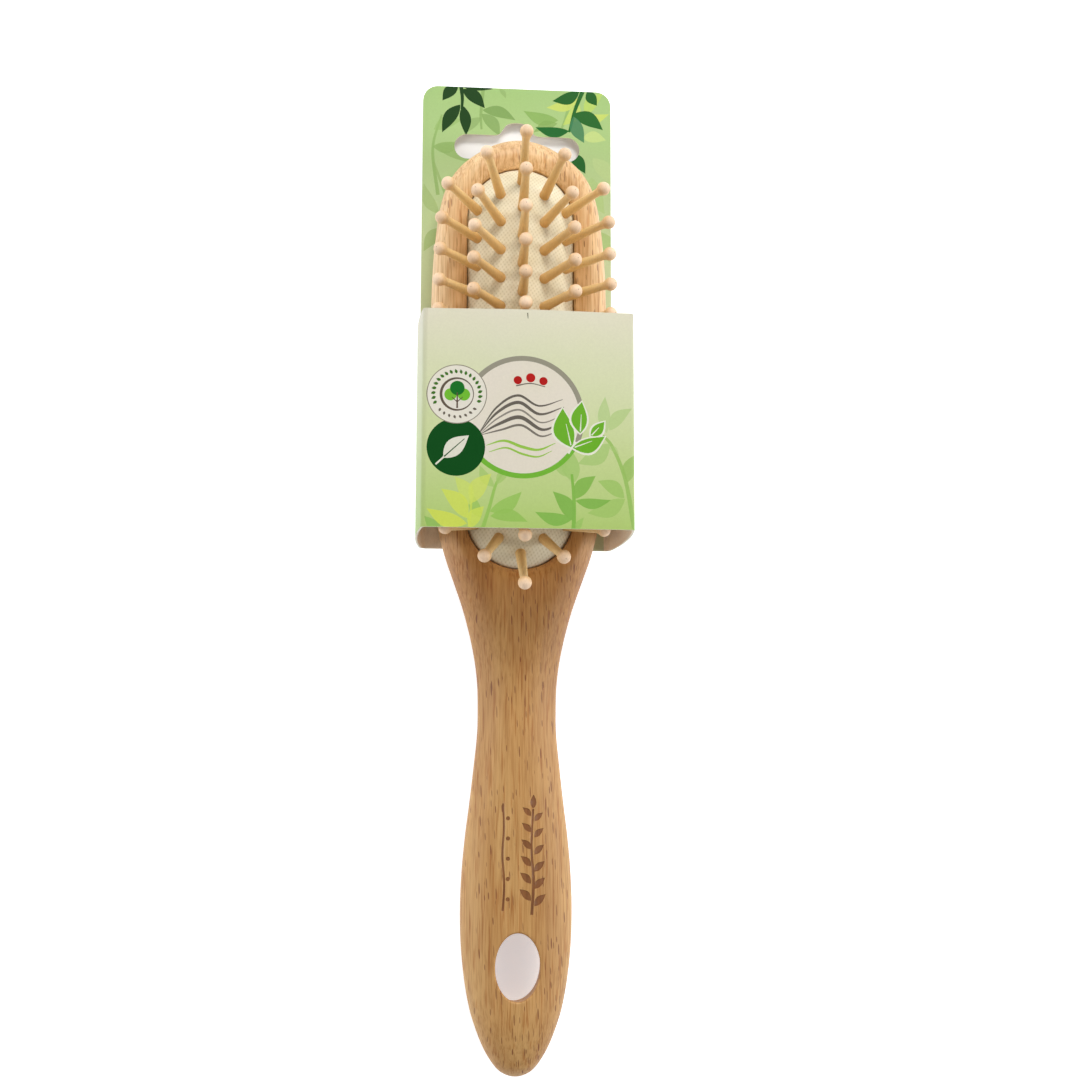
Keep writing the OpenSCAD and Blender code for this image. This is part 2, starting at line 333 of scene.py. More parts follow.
# generic burnt sprig: a stem with pairs of leaves, and a fine line beside it
def sprig(grow):
    polys = [stroke([(3.1, -83.5), (3.5, -76), (3.0, -68), (3.4, -59.5)], 0.55, 0.35, grow=grow)]
    for i, y in enumerate([-81.5, -77.6, -73.7, -69.8, -65.9, -62.2]):
        size = 3.0 - 0.16 * i
        x = 3.3
        polys.append(leaf((x + 0.45, y), (x + 0.6 + size * 0.8, y + size * 0.85), 0.44, 0.05, grow=grow))
        polys.append(leaf((x - 0.45, y + 1.2), (x - 0.6 - size * 0.8, y + 1.2 + size * 0.85), 0.44, -0.05, grow=grow))
    polys.append(leaf((3.4, -59.3), (3.5, -56.2), 0.42, grow=grow))
    polys.append(stroke([(-3.6, -82.6), (-3.3, -76.5), (-3.7, -70), (-3.4, -63.8), (-3.6, -58.2)], 0.42, 0.3, grow=grow))
    for y in (-80, -75.4, -70.8, -66.2, -61.6):
        polys.append(disc((-2.45, y), 0.42 + grow, 14))
    return polys


burnt_outer = sprig(0.07)
burnt_inner = sprig(-0.03)

L_POCKET, L_HOLE = 0.55, 0.5
pocket_loop = stadium(POCKET_R)
hole_loop = oval(0)
free = hexgrid(-22, 22, HANDLE_END, HEAD_END, 0.95)
free = free[(np.abs(free[:, 0]) < np.sqrt(half_sq(free[:, 1])))]
free = far_from(free, P, BAND + 0.5)
free = free[past_pocket(free[:, 0], free[:, 1]) > 3.7]
free = free[hole_gap(free[:, 0], free[:, 1]) > 1.9]
rings = [stadium(POCKET_R + p) for p in (0.04, 0.13, 0.26, 0.42, 0.56, 0.9, 1.4, 2.0, 2.6, 3.2)]
rings = far_from(np.vstack(rings), P, BAND + 0.35)
holes = np.vstack([oval(p) for p in (0.04, 0.12, 0.24, 0.38, 0.52, 0.9, 1.4)])
holes = holes[np.hypot(holes[:, 0], 0) < 40]
free_top = np.vstack([free, rings, holes])

t2, ttri, ttag = triangulate([Q, pocket_loop, hole_loop], burnt_outer + burnt_inner, free_top)
nb = len(burnt_outer)
verts, faces, burn = [], [], []


def add(v3):
    base = len(verts)
    verts.extend([tuple(p) for p in v3])
    return base


def ring_quads(b0, b1, n, flip=False):
    for i in range(n):
        j = (i + 1) % n
        f = (b0 + i, b0 + j, b1 + j, b1 + i)
        faces.append(f[::-1] if flip else f)


row_z = [top_z(r[:, 0], r[:, 1]) for r in ROWS]
row_z[0] = middle_z(ROWS[0][:, 1])
base_top = [add(np.column_stack([r, z])) for r, z in zip(ROWS, row_z)]
for k in range(K):
    ring_quads(base_top[k], base_top[k + 1], N)
low_z = [under_z(r[:, 0], r[:, 1]) for r in ROWS]
base_low = [base_top[0]] + [add(np.column_stack([r, z])) for r, z in zip(ROWS[1:], low_z[1:])]
for k in range(K):
    ring_quads(base_low[k], base_low[k + 1], N, True)
n_plain = len(faces)

# top face with the pocket's and hole's rounded edges and the burnt motif pressed in
gap_p = past_pocket(t2[:, 0], t2[:, 1])
gap_h = hole_gap(t2[:, 0], t2[:, 1])
tz = top_z(t2[:, 0], t2[:, 1]) - lip(gap_p, L_POCKET) - lip(gap_h, L_HOLE)
sunk = np.zeros(len(t2), bool)
for f, tag in zip(ttri, ttag):
    if any(i >= 3 + nb for i in tag):
        sunk[f] = True
tz = tz - 0.1 * sunk
tb = add(np.column_stack([t2, tz]))
burn_faces = {}
floor_tris = []
for f, tag in zip(ttri, ttag):
    if 0 not in tag or 2 in tag:
        continue
    if 1 in tag:
        floor_tris.append(f)
        continue
    if any(3 <= i < 3 + nb for i in tag):
        burn_faces[len(faces)] = 1.0
    faces.append(tuple(tb + i for i in f))
# pocket wall and floor
pl = stadium(POCKET_R)
pz = top_z(pl[:, 0], pl[:, 1]) - L_POCKET
b0 = add(np.column_stack([pl, pz]))
b1 = add(np.column_stack([pl, np.full(len(pl), POCKET_FLOOR)]))
ring_quads(b0, b1, len(pl), True)
fb = add(np.column_stack([t2, np.full(len(t2), POCKET_FLOOR)]))
for f in floor_tris:
    faces.append(tuple(fb + i for i in f))
# underside
free_low = np.vstack([free, holes,
                      far_from(hexgrid(-14, 14, -5, 96, 1.6), P, BAND + 0.5)])
free_low = far_from(free_low, np.array([[99.0, 99.0]]), 0.1)
mask = (past_pocket(free_low[:, 0], free_low[:, 1]) > 3.7) | (np.arange(len(free_low)) >= len(free) + len(holes))
free_low = free_low[mask]
back_hole = oval(HOLE_FLARE)
back_rings = np.vstack([oval(HOLE_FLARE + p) for p in (0.06, 0.2, 0.45, 0.8, 1.0, 1.5)])
free_low = np.vstack([free_low[hole_gap(free_low[:, 0], free_low[:, 1], HOLE_FLARE) > 1.9], back_rings])
L_BACK = 1.0
u2, utri, utag = triangulate([Q, back_hole], [], free_low)
uz = under_z(u2[:, 0], u2[:, 1]) + lip(hole_gap(u2[:, 0], u2[:, 1], HOLE_FLARE), L_BACK)
ub = add(np.column_stack([u2, uz]))
for f, tag in zip(utri, utag):
    if 0 in tag and 1 not in tag:
        faces.append(tuple(ub + i for i in f[::-1]))
# wall of the hang hole
hz0 = top_z(hole_loop[:, 0], hole_loop[:, 1]) - L_HOLE
hz1 = under_z(back_hole[:, 0], back_hole[:, 1]) + L_BACK
prev = add(np.column_stack([hole_loop, hz0]))
for k in range(1, 5):
    nxt = add(np.column_stack([mix(hole_loop, back_hole, k / 4), mix(hz0, hz1, k / 4)]))
    ring_quads(prev, nxt, len(hole_loop), True)
    prev = nxt

body = mesh_object("beech_body", verts, faces)
att = body.data.attributes.new("burn", "FLOAT", "FACE")
vals = np.zeros(len(faces), np.float32)
for i in burn_faces:
    vals[i] = 1
att.data.foreach_set("value", vals)
tidy(body, 0.003, 42)


# ---------------------------------------------------------------- pins
DOME_R, DOME_TOP = 16.5, 18.7
DOME_Z = DOME_TOP - DOME_R
PITCH, FIRST = 6.96, 90.35
INNER_X, OUTER_X, PIN_LEN = 5.3, 10.65, 15.5
BASE_R, NECK_R, BALL_R = 1.25, 0.88, 1.6
ROW_LEAN = [-38, -27.5, -2.4, 22, 37]
ROW_FAN = [15.5, 28.5, 31, 28.5, 15.5]


def dome_z(x, y):
    r = np.hypot(x, y - np.clip(y, POCKET_Y0, POCKET_Y1))
    return DOME_Z + np.sqrt(np.maximum(0, DOME_R**2 - r**2))


def pin_place(c, i):
    x = (c > 0) - (c < 0)
    x = x * (OUTER_X if abs(c) == 2 else INNER_X if abs(c) == 1 else 0)
    y = FIRST - PITCH * (i + (0.5 if abs(c) == 1 else 0))
    u = (FIRST - y) / PITCH
    fan = ROW_FAN[c + 2] * (math.exp(-u / 1.68) - math.exp(-(13 - u) / 1.68)) - 1.8
    lean = ROW_LEAN[c + 2] * (1 - 0.73 * (math.exp(-u / 0.8) + math.exp(-(13 - u) / 0.8)))
    f, ln = math.radians(fan), math.radians(lean)
    d = np.array([math.sin(ln) * math.cos(f), math.sin(f), math.cos(ln) * math.cos(f)])
    return np.array([x, y, float(dome_z(x, y))]), d


GROUPS = []
for c, side in ((-2, "left_outer"), (-1, "left_inner"), (0, "centre"), (1, "right_inner"), (2, "right_outer")):
    spans = {2: ((1, 4), (5, 8), (9, 12)), 1: ((0, 3), (4, 8), (9, 12)), 0: ((0, 4), (5, 8), (9, 13))}[abs(c)]
    for part, (a, b) in zip(("head", "middle", "neck"), spans):
        GROUPS.append((f"pins_{side}_{part}", f"{side}_pins", [(c, i) for i in range(a, b + 1)]))

ALL_PINS = [pin_place(c, i) for _, _, cells in GROUPS for c, i in cells]

PROFILE = [(0, -3.2, 0), (1.45, -3.2, 0), (1.55, -3.1, 0), (1.55, -2.4, 0), (1.45, -2.3, 0), (1.25, -2.3, 0)]
for z in np.linspace(-1.2, 12.4, 13):
    PROFILE.append((mix(BASE_R, NECK_R, np.clip((z - 0.3) / 14.4, 0, 1)) * (1 - 0.012 * math.sin(z * 1.7)), z, 0))
neck = mix(BASE_R, NECK_R, (12.5 - 0.3) / 14.4)
a_join = math.asin(min(1, (neck + 0.34) / BALL_R))
zj = PIN_LEN - BALL_R * math.cos(a_join)
for t in (0.25, 0.5, 0.75):
    PROFILE.append((mix(neck, BALL_R * math.sin(a_join), t**2.2), mix(12.6, zj, t), 0))
for a in np.linspace(math.degrees(a_join), 173, 13):
    PROFILE.append((BALL_R * math.sin(math.radians(a)), PIN_LEN - BALL_R * math.cos(math.radians(a)), 1))
PROFILE.append((0, PIN_LEN + BALL_R, 1))
SEG = 22
pin_objects = []
for name, bodyname, cells in GROUPS:
    vs, fs, tt, rr, pp, an = [], [], [], [], [], []
    for c, i in cells:
        p0, d = pin_place(c, i)
        up = np.array([0, 1.0, 0]) if abs(d[1]) < 0.9 else np.array([1.0, 0, 0])
        e1 = np.cross(up, d)
        e1 /= np.linalg.norm(e1)
        e2 = np.cross(d, e1)
        r_ = rng.random()
        pip = 1.0 if rng.random() < 0.45 else 0.0
        spin = rng.random() * 6.28
        size = 1 + 0.025 * (rng.random() - 0.5)
        wob = 0.10 * (rng.random(2) - 0.5)
        idx = []
        for k, (r, z, _) in enumerate(PROFILE):
            ctr = p0 + d * z + (e1 * wob[0] + e2 * wob[1]) * max(0, z / PIN_LEN) ** 2
            t_ = min(1, max(0, z / PIN_LEN))
            if r == 0:
                idx.append([len(vs)])
                vs.append(ctr)
                tt.append(1.0 if z > 5 else 0.0)
                pp.append(pip if z > 5 else 0)
                rr.append(r_)
            else:
                ring = []
                for m in range(SEG):
                    a = spin + 2 * math.pi * m / SEG
                    ring.append(len(vs))
                    vs.append(ctr + (e1 * math.cos(a) + e2 * math.sin(a)) * r * (size if z > 13 else 1))
                    tt.append(min(1.0, z / (PIN_LEN + BALL_R)) if z > 0 else 0)
                    pp.append(0)
                    rr.append(r_)
                idx.append(ring)
        for a, b in zip(idx, idx[1:]):
            if len(a) == 1:
                fs.extend([(a[0], b[(m + 1) % SEG], b[m]) for m in range(SEG)])
            elif len(b) == 1:
                fs.extend([(a[m], a[(m + 1) % SEG], b[0]) for m in range(SEG)])
            else:
                fs.extend([(a[m], a[(m + 1) % SEG], b[(m + 1) % SEG], b[m]) for m in range(SEG)])
    ob = mesh_object("wood_" + name, vs, fs)
    for key, vals in (("pin_t", tt), ("pin_rand", rr), ("pin_pip", pp)):
        at = ob.data.attributes.new(key, "FLOAT", "POINT")
        at.data.foreach_set("value", np.array(vals, np.float32))
    ob.data.shade_smooth()
    ob.data.set_sharp_from_angle(angle=math.radians(60))
    pin_objects.append((ob, name, bodyname))


# ---------------------------------------------------------------- rubber cushion
SKIRT = 12.75
bases = np.array([p[:2] for p, _ in ALL_PINS])
c_free = hexgrid(-SKIRT, SKIRT, POCKET_Y0 - SKIRT, POCKET_Y1 + SKIRT, 0.72)
c_free = c_free[past_pocket(c_free[:, 0], c_free[:, 1]) < SKIRT - POCKET_R - 0.45]
c_free = far_from(c_free, bases, 1.95)
pin_rings = []
for (p0, d) in ALL_PINS:
    for rad in (0.0, 0.9, 1.25, 1.5, 1.75):
        n = 1 if rad == 0 else 18
        a = np.linspace(0, 2 * np.pi, n, endpoint=False)
        pin_rings.append(np.stack([p0[0] + rad * np.cos(a), p0[1] + rad * np.sin(a)], 1))
pin_rings = np.vstack(pin_rings)
c_loop = stadium(SKIRT, 0.7)
c_free = np.vstack([c_free, pin_rings, stadium(SKIRT - 0.22, 0.7)])
c2, ctri, ctag = triangulate([c_loop], [], c_free)
cz = dome_z(c2[:, 0], c2[:, 1])
near = np.full(len(c2), 9.0)
for b in bases:
    near = np.minimum(near, np.hypot(c2[:, 0] - b[0], c2[:, 1] - b[1]))
# the rubber is drawn in a little where each pin passes through it
cz = cz - 0.30 * np.exp(-((near / 1.55) ** 2)) - 0.05 * np.exp(-((near - 2.3) / 0.8) ** 2)
edge = np.clip(1 - (-past_pocket(c2[:, 0], c2[:, 1]) - (POCKET_R - SKIRT)) / 0.5, 0, 1)
cz = cz - 0.25 * edge * edge
verts, faces = [], []
cb = add(np.column_stack([c2, cz]))
for f, tag in zip(ctri, ctag):
    if 0 in tag:
        faces.append(tuple(cb + i for i in f))
ztop = float(dome_z(SKIRT, 40)) - 0.25
section = [(SKIRT, ztop), (SKIRT, ztop - 0.5), (SKIRT, 11.6), (SKIRT, 10.7), (SKIRT + 0.12, 10.5),
           (POCKET_R + 0.9, 10.5), (POCKET_R + 0.9, 9.4), (SKIRT - 1.5, 9.4), (SKIRT - 1.5, float(DOME_Z + math.sqrt(15.0**2 - 11.25**2)))]
cols = stadium(SKIRT, 0.7)
out = np.empty_like(cols)
mid_y = np.clip(cols[:, 1], POCKET_Y0, POCKET_Y1)
out[:, 0] = cols[:, 0] / SKIRT
out[:, 1] = (cols[:, 1] - mid_y) / SKIRT
prev = add(np.column_stack([cols, np.full(len(cols), ztop)]))
for r, z in section[1:]:
    ring = np.stack([out[:, 0] * r, mid_y + out[:, 1] * r], 1)
    nxt = add(np.column_stack([ring, np.full(len(cols), z)]))
    ring_quads(prev, nxt, len(cols), True)
    prev = nxt
in_loop = np.stack([out[:, 0] * (SKIRT - 1.5), mid_y + out[:, 1] * (SKIRT - 1.5)], 1)
i_free = hexgrid(-11, 11, POCKET_Y0 - 11, POCKET_Y1 + 11, 1.8)
i_free = i_free[past_pocket(i_free[:, 0], i_free[:, 1]) < SKIRT - 1.5 - POCKET_R - 0.6]
i2, itri, itag = triangulate([in_loop], [], i_free)
ir = np.hypot(i2[:, 0], i2[:, 1] - np.clip(i2[:, 1], POCKET_Y0, POCKET_Y1))
iz = DOME_Z + np.sqrt(np.maximum(0, 15.0**2 - ir**2))
ib = add(np.column_stack([i2, iz]))
for f, tag in zip(itri, itag):
    if 0 in tag:
        faces.append(tuple(ib + i for i in f[::-1]))
cushion = mesh_object("rubber_dome", verts, faces)
tidy(cushion, 0.003, 55)


# ---------------------------------------------------------------- printed card
T = 0.45
SLEEVE_Y0, SLEEVE_Y1, SLEEVE_H, SLEEVE_HALF = 2.8, 52.8, 36.6, 24.85
CARD_HALF, CARD_TOP, CORNER = 23.75, 120.5, 3.8
SLOT_W, SLOT_Y, SLOT_H = 31.6, 104.9, 6.4
UP, OVER, B_BEND, F_BEND = math.radians(82), math.radians(96), 1.6, 1.0


def belly(z0):
    return ((SLEEVE_H - T / 2 - z0 - B_BEND * (1 - math.cos(UP)) - F_BEND * (1 + math.cos(OVER)))
            / (math.cos(UP) - math.cos(OVER)))


def heading(a):
    return np.array([math.sin(a), -math.cos(a)])


FOLD_X = SLEEVE_HALF - T / 2 - belly(T / 2) * (1 - math.sin(UP)) - B_BEND * math.sin(UP)
FRONT_X = FOLD_X + 0.9


def side(z0):
    """Middle line of a side wall from the back to the front: points and outward normals."""
    r = belly(z0)
    x0 = SLEEVE_HALF - T / 2 - r * (1 - math.sin(UP)) - B_BEND * math.sin(UP)
    c1 = np.array([x0, z0 + B_BEND])
    c2 = c1 - (r - B_BEND) * heading(UP)
    c3 = c2 + (r - F_BEND) * heading(OVER)
    pts = [(np.array([FOLD_X, z0]), heading(0), 1)]
    for k in range(0, 9):
        a = UP * k / 8
        pts.append((c1 + B_BEND * heading(a), heading(a), 1))
    for k in range(1, 17):
        a = UP + (OVER - UP) * k / 16
        pts.append((c2 + r * heading(a), heading(a), 1))
    for k in range(1, 9):
        a = OVER + (math.pi - OVER) * k / 8
        pts.append((c3 + F_BEND * heading(a), heading(a), 1))
    return pts


right = side(T / 2)
left = [(p * np.array([-1, 1]), n * np.array([-1, 1]), k) for p, n, k in side(T * 1.5)][::-1]
flap = [(np.array([-FOLD_X + 3.0 * k, T * 1.5]), np.array([0.0, -1.0]), 1) for k in (1, 2, 3)]
path = right + left + flap
SP = np.array([p for p, _, _ in path])
SN = np.array([n for _, n, _ in path])
SU = np.concatenate([[0], np.cumsum(np.hypot(*np.diff(SP, axis=0).T))])
keep = np.concatenate([[True], np.diff(SU) > 1e-4])
SP, SN, SU = SP[keep], SN[keep], SU[keep]
i_front = int(np.argmin(np.abs(SP[:, 0] - right[-1][0][0]) + np.abs(SP[:, 1] - (SLEEVE_H - T / 2))))
U_FRONT = SU[i_front] + SP[i_front, 0]      # on the front, x = U_FRONT - u


def section_at(u):
    n = np.stack([np.interp(u, SU, SN[:, 0]), np.interp(u, SU, SN[:, 1])], 1)
    n /= np.hypot(n[:, 0], n[:, 1])[:, None]
    return np.stack([np.interp(u, SU, SP[:, 0]), np.interp(u, SU, SP[:, 1])], 1), n


def grad(stops, y):
    ys = [s_[0] for s_ in stops]
    cs = np.array([lin(s_[1]) for s_ in stops])
    return np.stack([np.interp(y, ys, cs[:, k]) for k in range(3)], 1)


BAND_STOPS = [(2.8, (176, 203, 116)), (10, (187, 209, 134)), (18, (196, 212, 148)), (26, (205, 216, 163)),
              (35, (213, 219, 178)), (44, (219, 220, 190)), (52.8, (226, 221, 201))]
CARD_STOPS = [(2.8, (206, 216, 180)), (52, (205, 216, 178)), (75, (198, 213, 169)), (95, (184, 208, 150)),
              (108, (172, 202, 136)), (120.5, (166, 199, 128))]


def paint(v2, tris, tags, first, inks, stops, y):
    """Linear colour at every corner of the printed side: gradient, then each ink in turn."""
    base = grad(stops, y)
    out = np.empty((len(tris), 3, 3))
    for k, (f, tag) in enumerate(zip(tris, tags)):
        c = base[f]
        for i in tag:
            if i >= first:
                col, alpha = inks[i - first]
                c = c * (1 - alpha) + np.array(lin(col)) * alpha
        out[k] = c
    return out


def sheet_mesh(name, v2, tris, keep_tri, place, colours, mats):
    """A card of thickness T from a flat triangulation: printed outside, plain inside, cut edges."""
    tri = np.array([f for f, k in zip(tris, keep_tri) if k])
    col = np.array([c for c, k in zip(colours, keep_tri) if k])
    mid, nor = place(v2)
    outer, inner = mid + nor * T / 2, mid - nor * T / 2
    n = len(v2)
    count = {}
    for f in tri:
        for a, b in ((f[0], f[1]), (f[1], f[2]), (f[2], f[0])):
            count[(a, b)] = count.get((a, b), 0) + 1
    rim = [(a, b) for (a, b) in count if (b, a) not in count]
    fs = [tuple(f) for f in tri] + [(f[2] + n, f[1] + n, f[0] + n) for f in tri]
    fs += [(b, a, a + n, b + n) for a, b in rim]
    ob = mesh_object(name, np.vstack([outer, inner]), fs)
    me = ob.data
    at = me.attributes.new("ink", "FLOAT_COLOR", "CORNER")
    flat = np.ones((len(me.loops), 4), np.float32)
    flat[:len(tri) * 3, :3] = col.reshape(-1, 3)
    at.data.foreach_set("color", flat.ravel())
    for m in mats:
        me.materials.append(m)
    idx = np.array([0] * len(tri) + [1] * len(tri) + [2] * len(rim), np.int32)
    me.polygons.foreach_set("material_index", idx)
    used = np.zeros(2 * n, bool)
    used[np.unique(np.concatenate([tri.ravel(), tri.ravel() + n]))] = True
    bm = bmesh.new()
    bm.from_mesh(me)
    bm.verts.ensure_lookup_table()
    bmesh.ops.delete(bm, geom=[v for v in bm.verts if not v.link_faces], context="VERTS")
    bm.to_mesh(me)
    bm.free()
    me.shade_smooth()
    me.set_sharp_from_angle(angle=math.radians(50))
    me.update()
    return ob


GREEN, DEEP, MID = (108, 176, 44), (6, 75, 22), (124, 176, 84)

# --- hanging card artwork
D1, D2 = (26, 66, 20), (38, 104, 40)
card_art = [
    # pale foliage at the back
    (stroke([(-19.8, 92), (-21.2, 104), (-19, 113)], 0.9, 0.5), (143, 180, 102), 0.75),
    (stroke([(-12.2, 79), (-17, 90), (-21, 100.5)], 1.0, 0.6), (152, 184, 112), 0.7),
    (leaf((-21.2, 104.5), (-14.2, 106.0), 0.42, -0.12), (143, 180, 102), 0.75),
    (leaf((-20.6, 105), (-11.2, 100.5), 0.36, 0.08), (148, 182, 108), 0.75),
    (leaf((-21, 109), (-13.8, 111.8), 0.4, 0.1), (150, 186, 108), 0.65),
    (leaf((-16.5, 89.5), (-8.0, 94.5), 0.4, -0.1), (150, 184, 110), 0.7),
    (leaf((-18, 83.5), (-23.2, 77.2), 0.4, -0.1), (160, 188, 118), 0.7),
    (leaf((-19.5, 87), (-23.3, 94.8), 0.34, 0.1), (160, 188, 118), 0.6),
    (stroke([(-8.6, 120.5), (-9.2, 113.4), (-9.0, 109.5)], 0.9, 0.5), (138, 172, 100), 0.8),
    (leaf((-8.8, 114.6), (-0.4, 112.2), 0.34, 0.1), (124, 160, 88), 0.85),
    (leaf((-9.0, 113.6), (-4.4, 107.8), 0.42, 0.1), (132, 166, 96), 0.8),
    (leaf((-9.2, 112.6), (-12.8, 108.4), 0.42, -0.1), (140, 172, 104), 0.7),
    (leaf((-4.6, 120.4), (-2.9, 117.9), 0.4, 0.1), (150, 182, 112), 0.8),
    (leaf((10.4, 112.6), (1.6, 114.8), 0.36, 0.1), (136, 176, 92), 0.85),
    (leaf((10.2, 111.8), (4.2, 109.2), 0.36, -0.1), (134, 172, 92), 0.8),
    (stroke([(13.6, 119), (12.2, 113), (10.8, 109.5)], 0.8, 0.5), (140, 178, 100), 0.7),
    # yellow-green leaves at the top right
    (leaf((15.6, 118.6), (7.4, 115.9), 0.34, 0.1), (205, 218, 104), 0.8),
    (leaf((15.8, 117.2), (11.6, 111.4), 0.42, 0.1), (196, 216, 104), 0.8),
    (leaf((14.2, 113.6), (23.4, 114.8), 0.32, -0.12), (206, 219, 104), 0.8),
    (leaf((17.2, 114.2), (21.9, 120.3), 0.4, 0.1), (188, 214, 100), 0.75),
    (leaf((16.6, 108.2), (22.6, 107.8), 0.5, 0.1), (204, 222, 140), 0.7),
    (leaf((19.2, 103.0), (23.4, 96.4), 0.5, 0.1), (190, 212, 148), 0.6),
    (leaf((18.8, 98.0), (22.2, 88.4), 0.44, -0.1), (176, 204, 136), 0.7),
    (leaf((20.2, 84.0), (23.3, 76.0), 0.5, 0.1), (166, 198, 124), 0.7),
    # dark sprig, left
    (stroke([(-14.2, 120.5), (-13.9, 117.5), (-14.0, 114.6)], 1.0, 0.6), D1, 1),
    (leaf((-15.0, 120.6), (-18.9, 116.7), 0.52, -0.1), D1, 1),
    (leaf((-13.9, 119.9), (-8.2, 115.1), 0.44, 0.08), D1, 1),
    (leaf((-14.4, 115.8), (-18.9, 108.3), 0.37, -0.06), D1, 1),
    (leaf((-13.8, 115.6), (-12.9, 107.7), 0.36, 0.04), D1, 1),
    (leaf((-14.2, 120.7), (-6.2, 120.2), 0.24, 0.02), D1, 1),
    # dark sprig, right
    (stroke([(16.6, 120.5), (14.6, 115.2), (13.2, 109.6)], 1.1, 0.6), D2, 1),
    (leaf((15.8, 120.4), (8.9, 117.7), 0.42, 0.1), (34, 98, 36), 1),
    (leaf((17.9, 120.8), (20.3, 116.9), 0.62, -0.05), (34, 98, 36), 1),
    (leaf((14.1, 114.4), (21.8, 110.5), 0.44, 0.1), D2, 1),
    (leaf((14.3, 113.8), (17.0, 106.9), 0.46, -0.06), (64, 128, 88), 0.9),
    (leaf((13.2, 109.9), (4.6, 110.6), 0.32, 0.1), (30, 104, 42), 1),
    (leaf((13.4, 104.2), (17.3, 98.8), 0.46, 0.06), (34, 100, 40), 1),
]
slot_pts = []
rr_ = SLOT_H / 2
cx = SLOT_W / 2 - rr_
for a in np.linspace(-90, 90, 17):
    slot_pts.append((cx + rr_ * math.cos(math.radians(a)), SLOT_Y + rr_ * math.sin(math.radians(a))))
bump = [(5.4, 0), (4.4, 0.4), (3.6, 1.5), (2.8, 2.6), (1.6, 3.2), (0, 3.35)]
bump = bump + [(-x, y) for x, y in bump[::-1][1:]]
bc = curve(bump, 5)
slot_pts += [(x, SLOT_Y + rr_ + max(0, y)) for x, y in bc]
for a in np.linspace(90, 270, 17):
    slot_pts.append((-cx + rr_ * math.cos(math.radians(a)), SLOT_Y + rr_ * math.sin(math.radians(a))))
slot_pts = np.array(slot_pts)
card_loop = []
for a in np.linspace(0, 90, 9):
    card_loop.append((CARD_HALF - CORNER + CORNER * math.cos(math.radians(a)), CARD_TOP - CORNER + CORNER * math.sin(math.radians(a))))
for a in np.linspace(90, 180, 9):
    card_loop.append((-CARD_HALF + CORNER + CORNER * math.cos(math.radians(a)), CARD_TOP - CORNER + CORNER * math.sin(math.radians(a))))
for y in np.linspace(CARD_TOP - CORNER, SLEEVE_Y1 + 0.6, 20)[1:]:
    card_loop.append((-CARD_HALF, y))
card_loop += [(-CARD_HALF + 0.6, SLEEVE_Y1), (-FOLD_X - 0.5, SLEEVE_Y1)]
card_loop += [(-FOLD_X - 0.5, y) for y in np.linspace(SLEEVE_Y1, SLEEVE_Y0, 14)[1:]]
card_loop += [(FOLD_X, y) for y in np.linspace(SLEEVE_Y0, SLEEVE_Y1, 14)]
card_loop += [(CARD_HALF - 0.6, SLEEVE_Y1)]
for y in np.linspace(SLEEVE_Y1 + 0.6, CARD_TOP - CORNER, 20)[:-1]:
    card_loop.append((CARD_HALF, y))
card_loop = np.array(card_loop)
card_free = hexgrid(-23, 23, 3.4, 120, 2.6)
card_free = card_free[(np.abs(card_free[:, 0]) < FOLD_X - 0.6) | (card_free[:, 1] > SLEEVE_Y1 + 1)]
card_free = far_from(card_free, card_loop, 0.9)
k2, ktri, ktag = triangulate([card_loop, slot_pts], [a[0] for a in card_art], card_free)
kcol = paint(k2, ktri, ktag, 2, [a[1:] for a in card_art], CARD_STOPS, k2[:, 1])


def flat_place(v2):
    mid = np.column_stack([v2, np.full(len(v2), T / 2)])
    return mid, np.tile([0.0, 0.0, 1.0], (len(v2), 1))


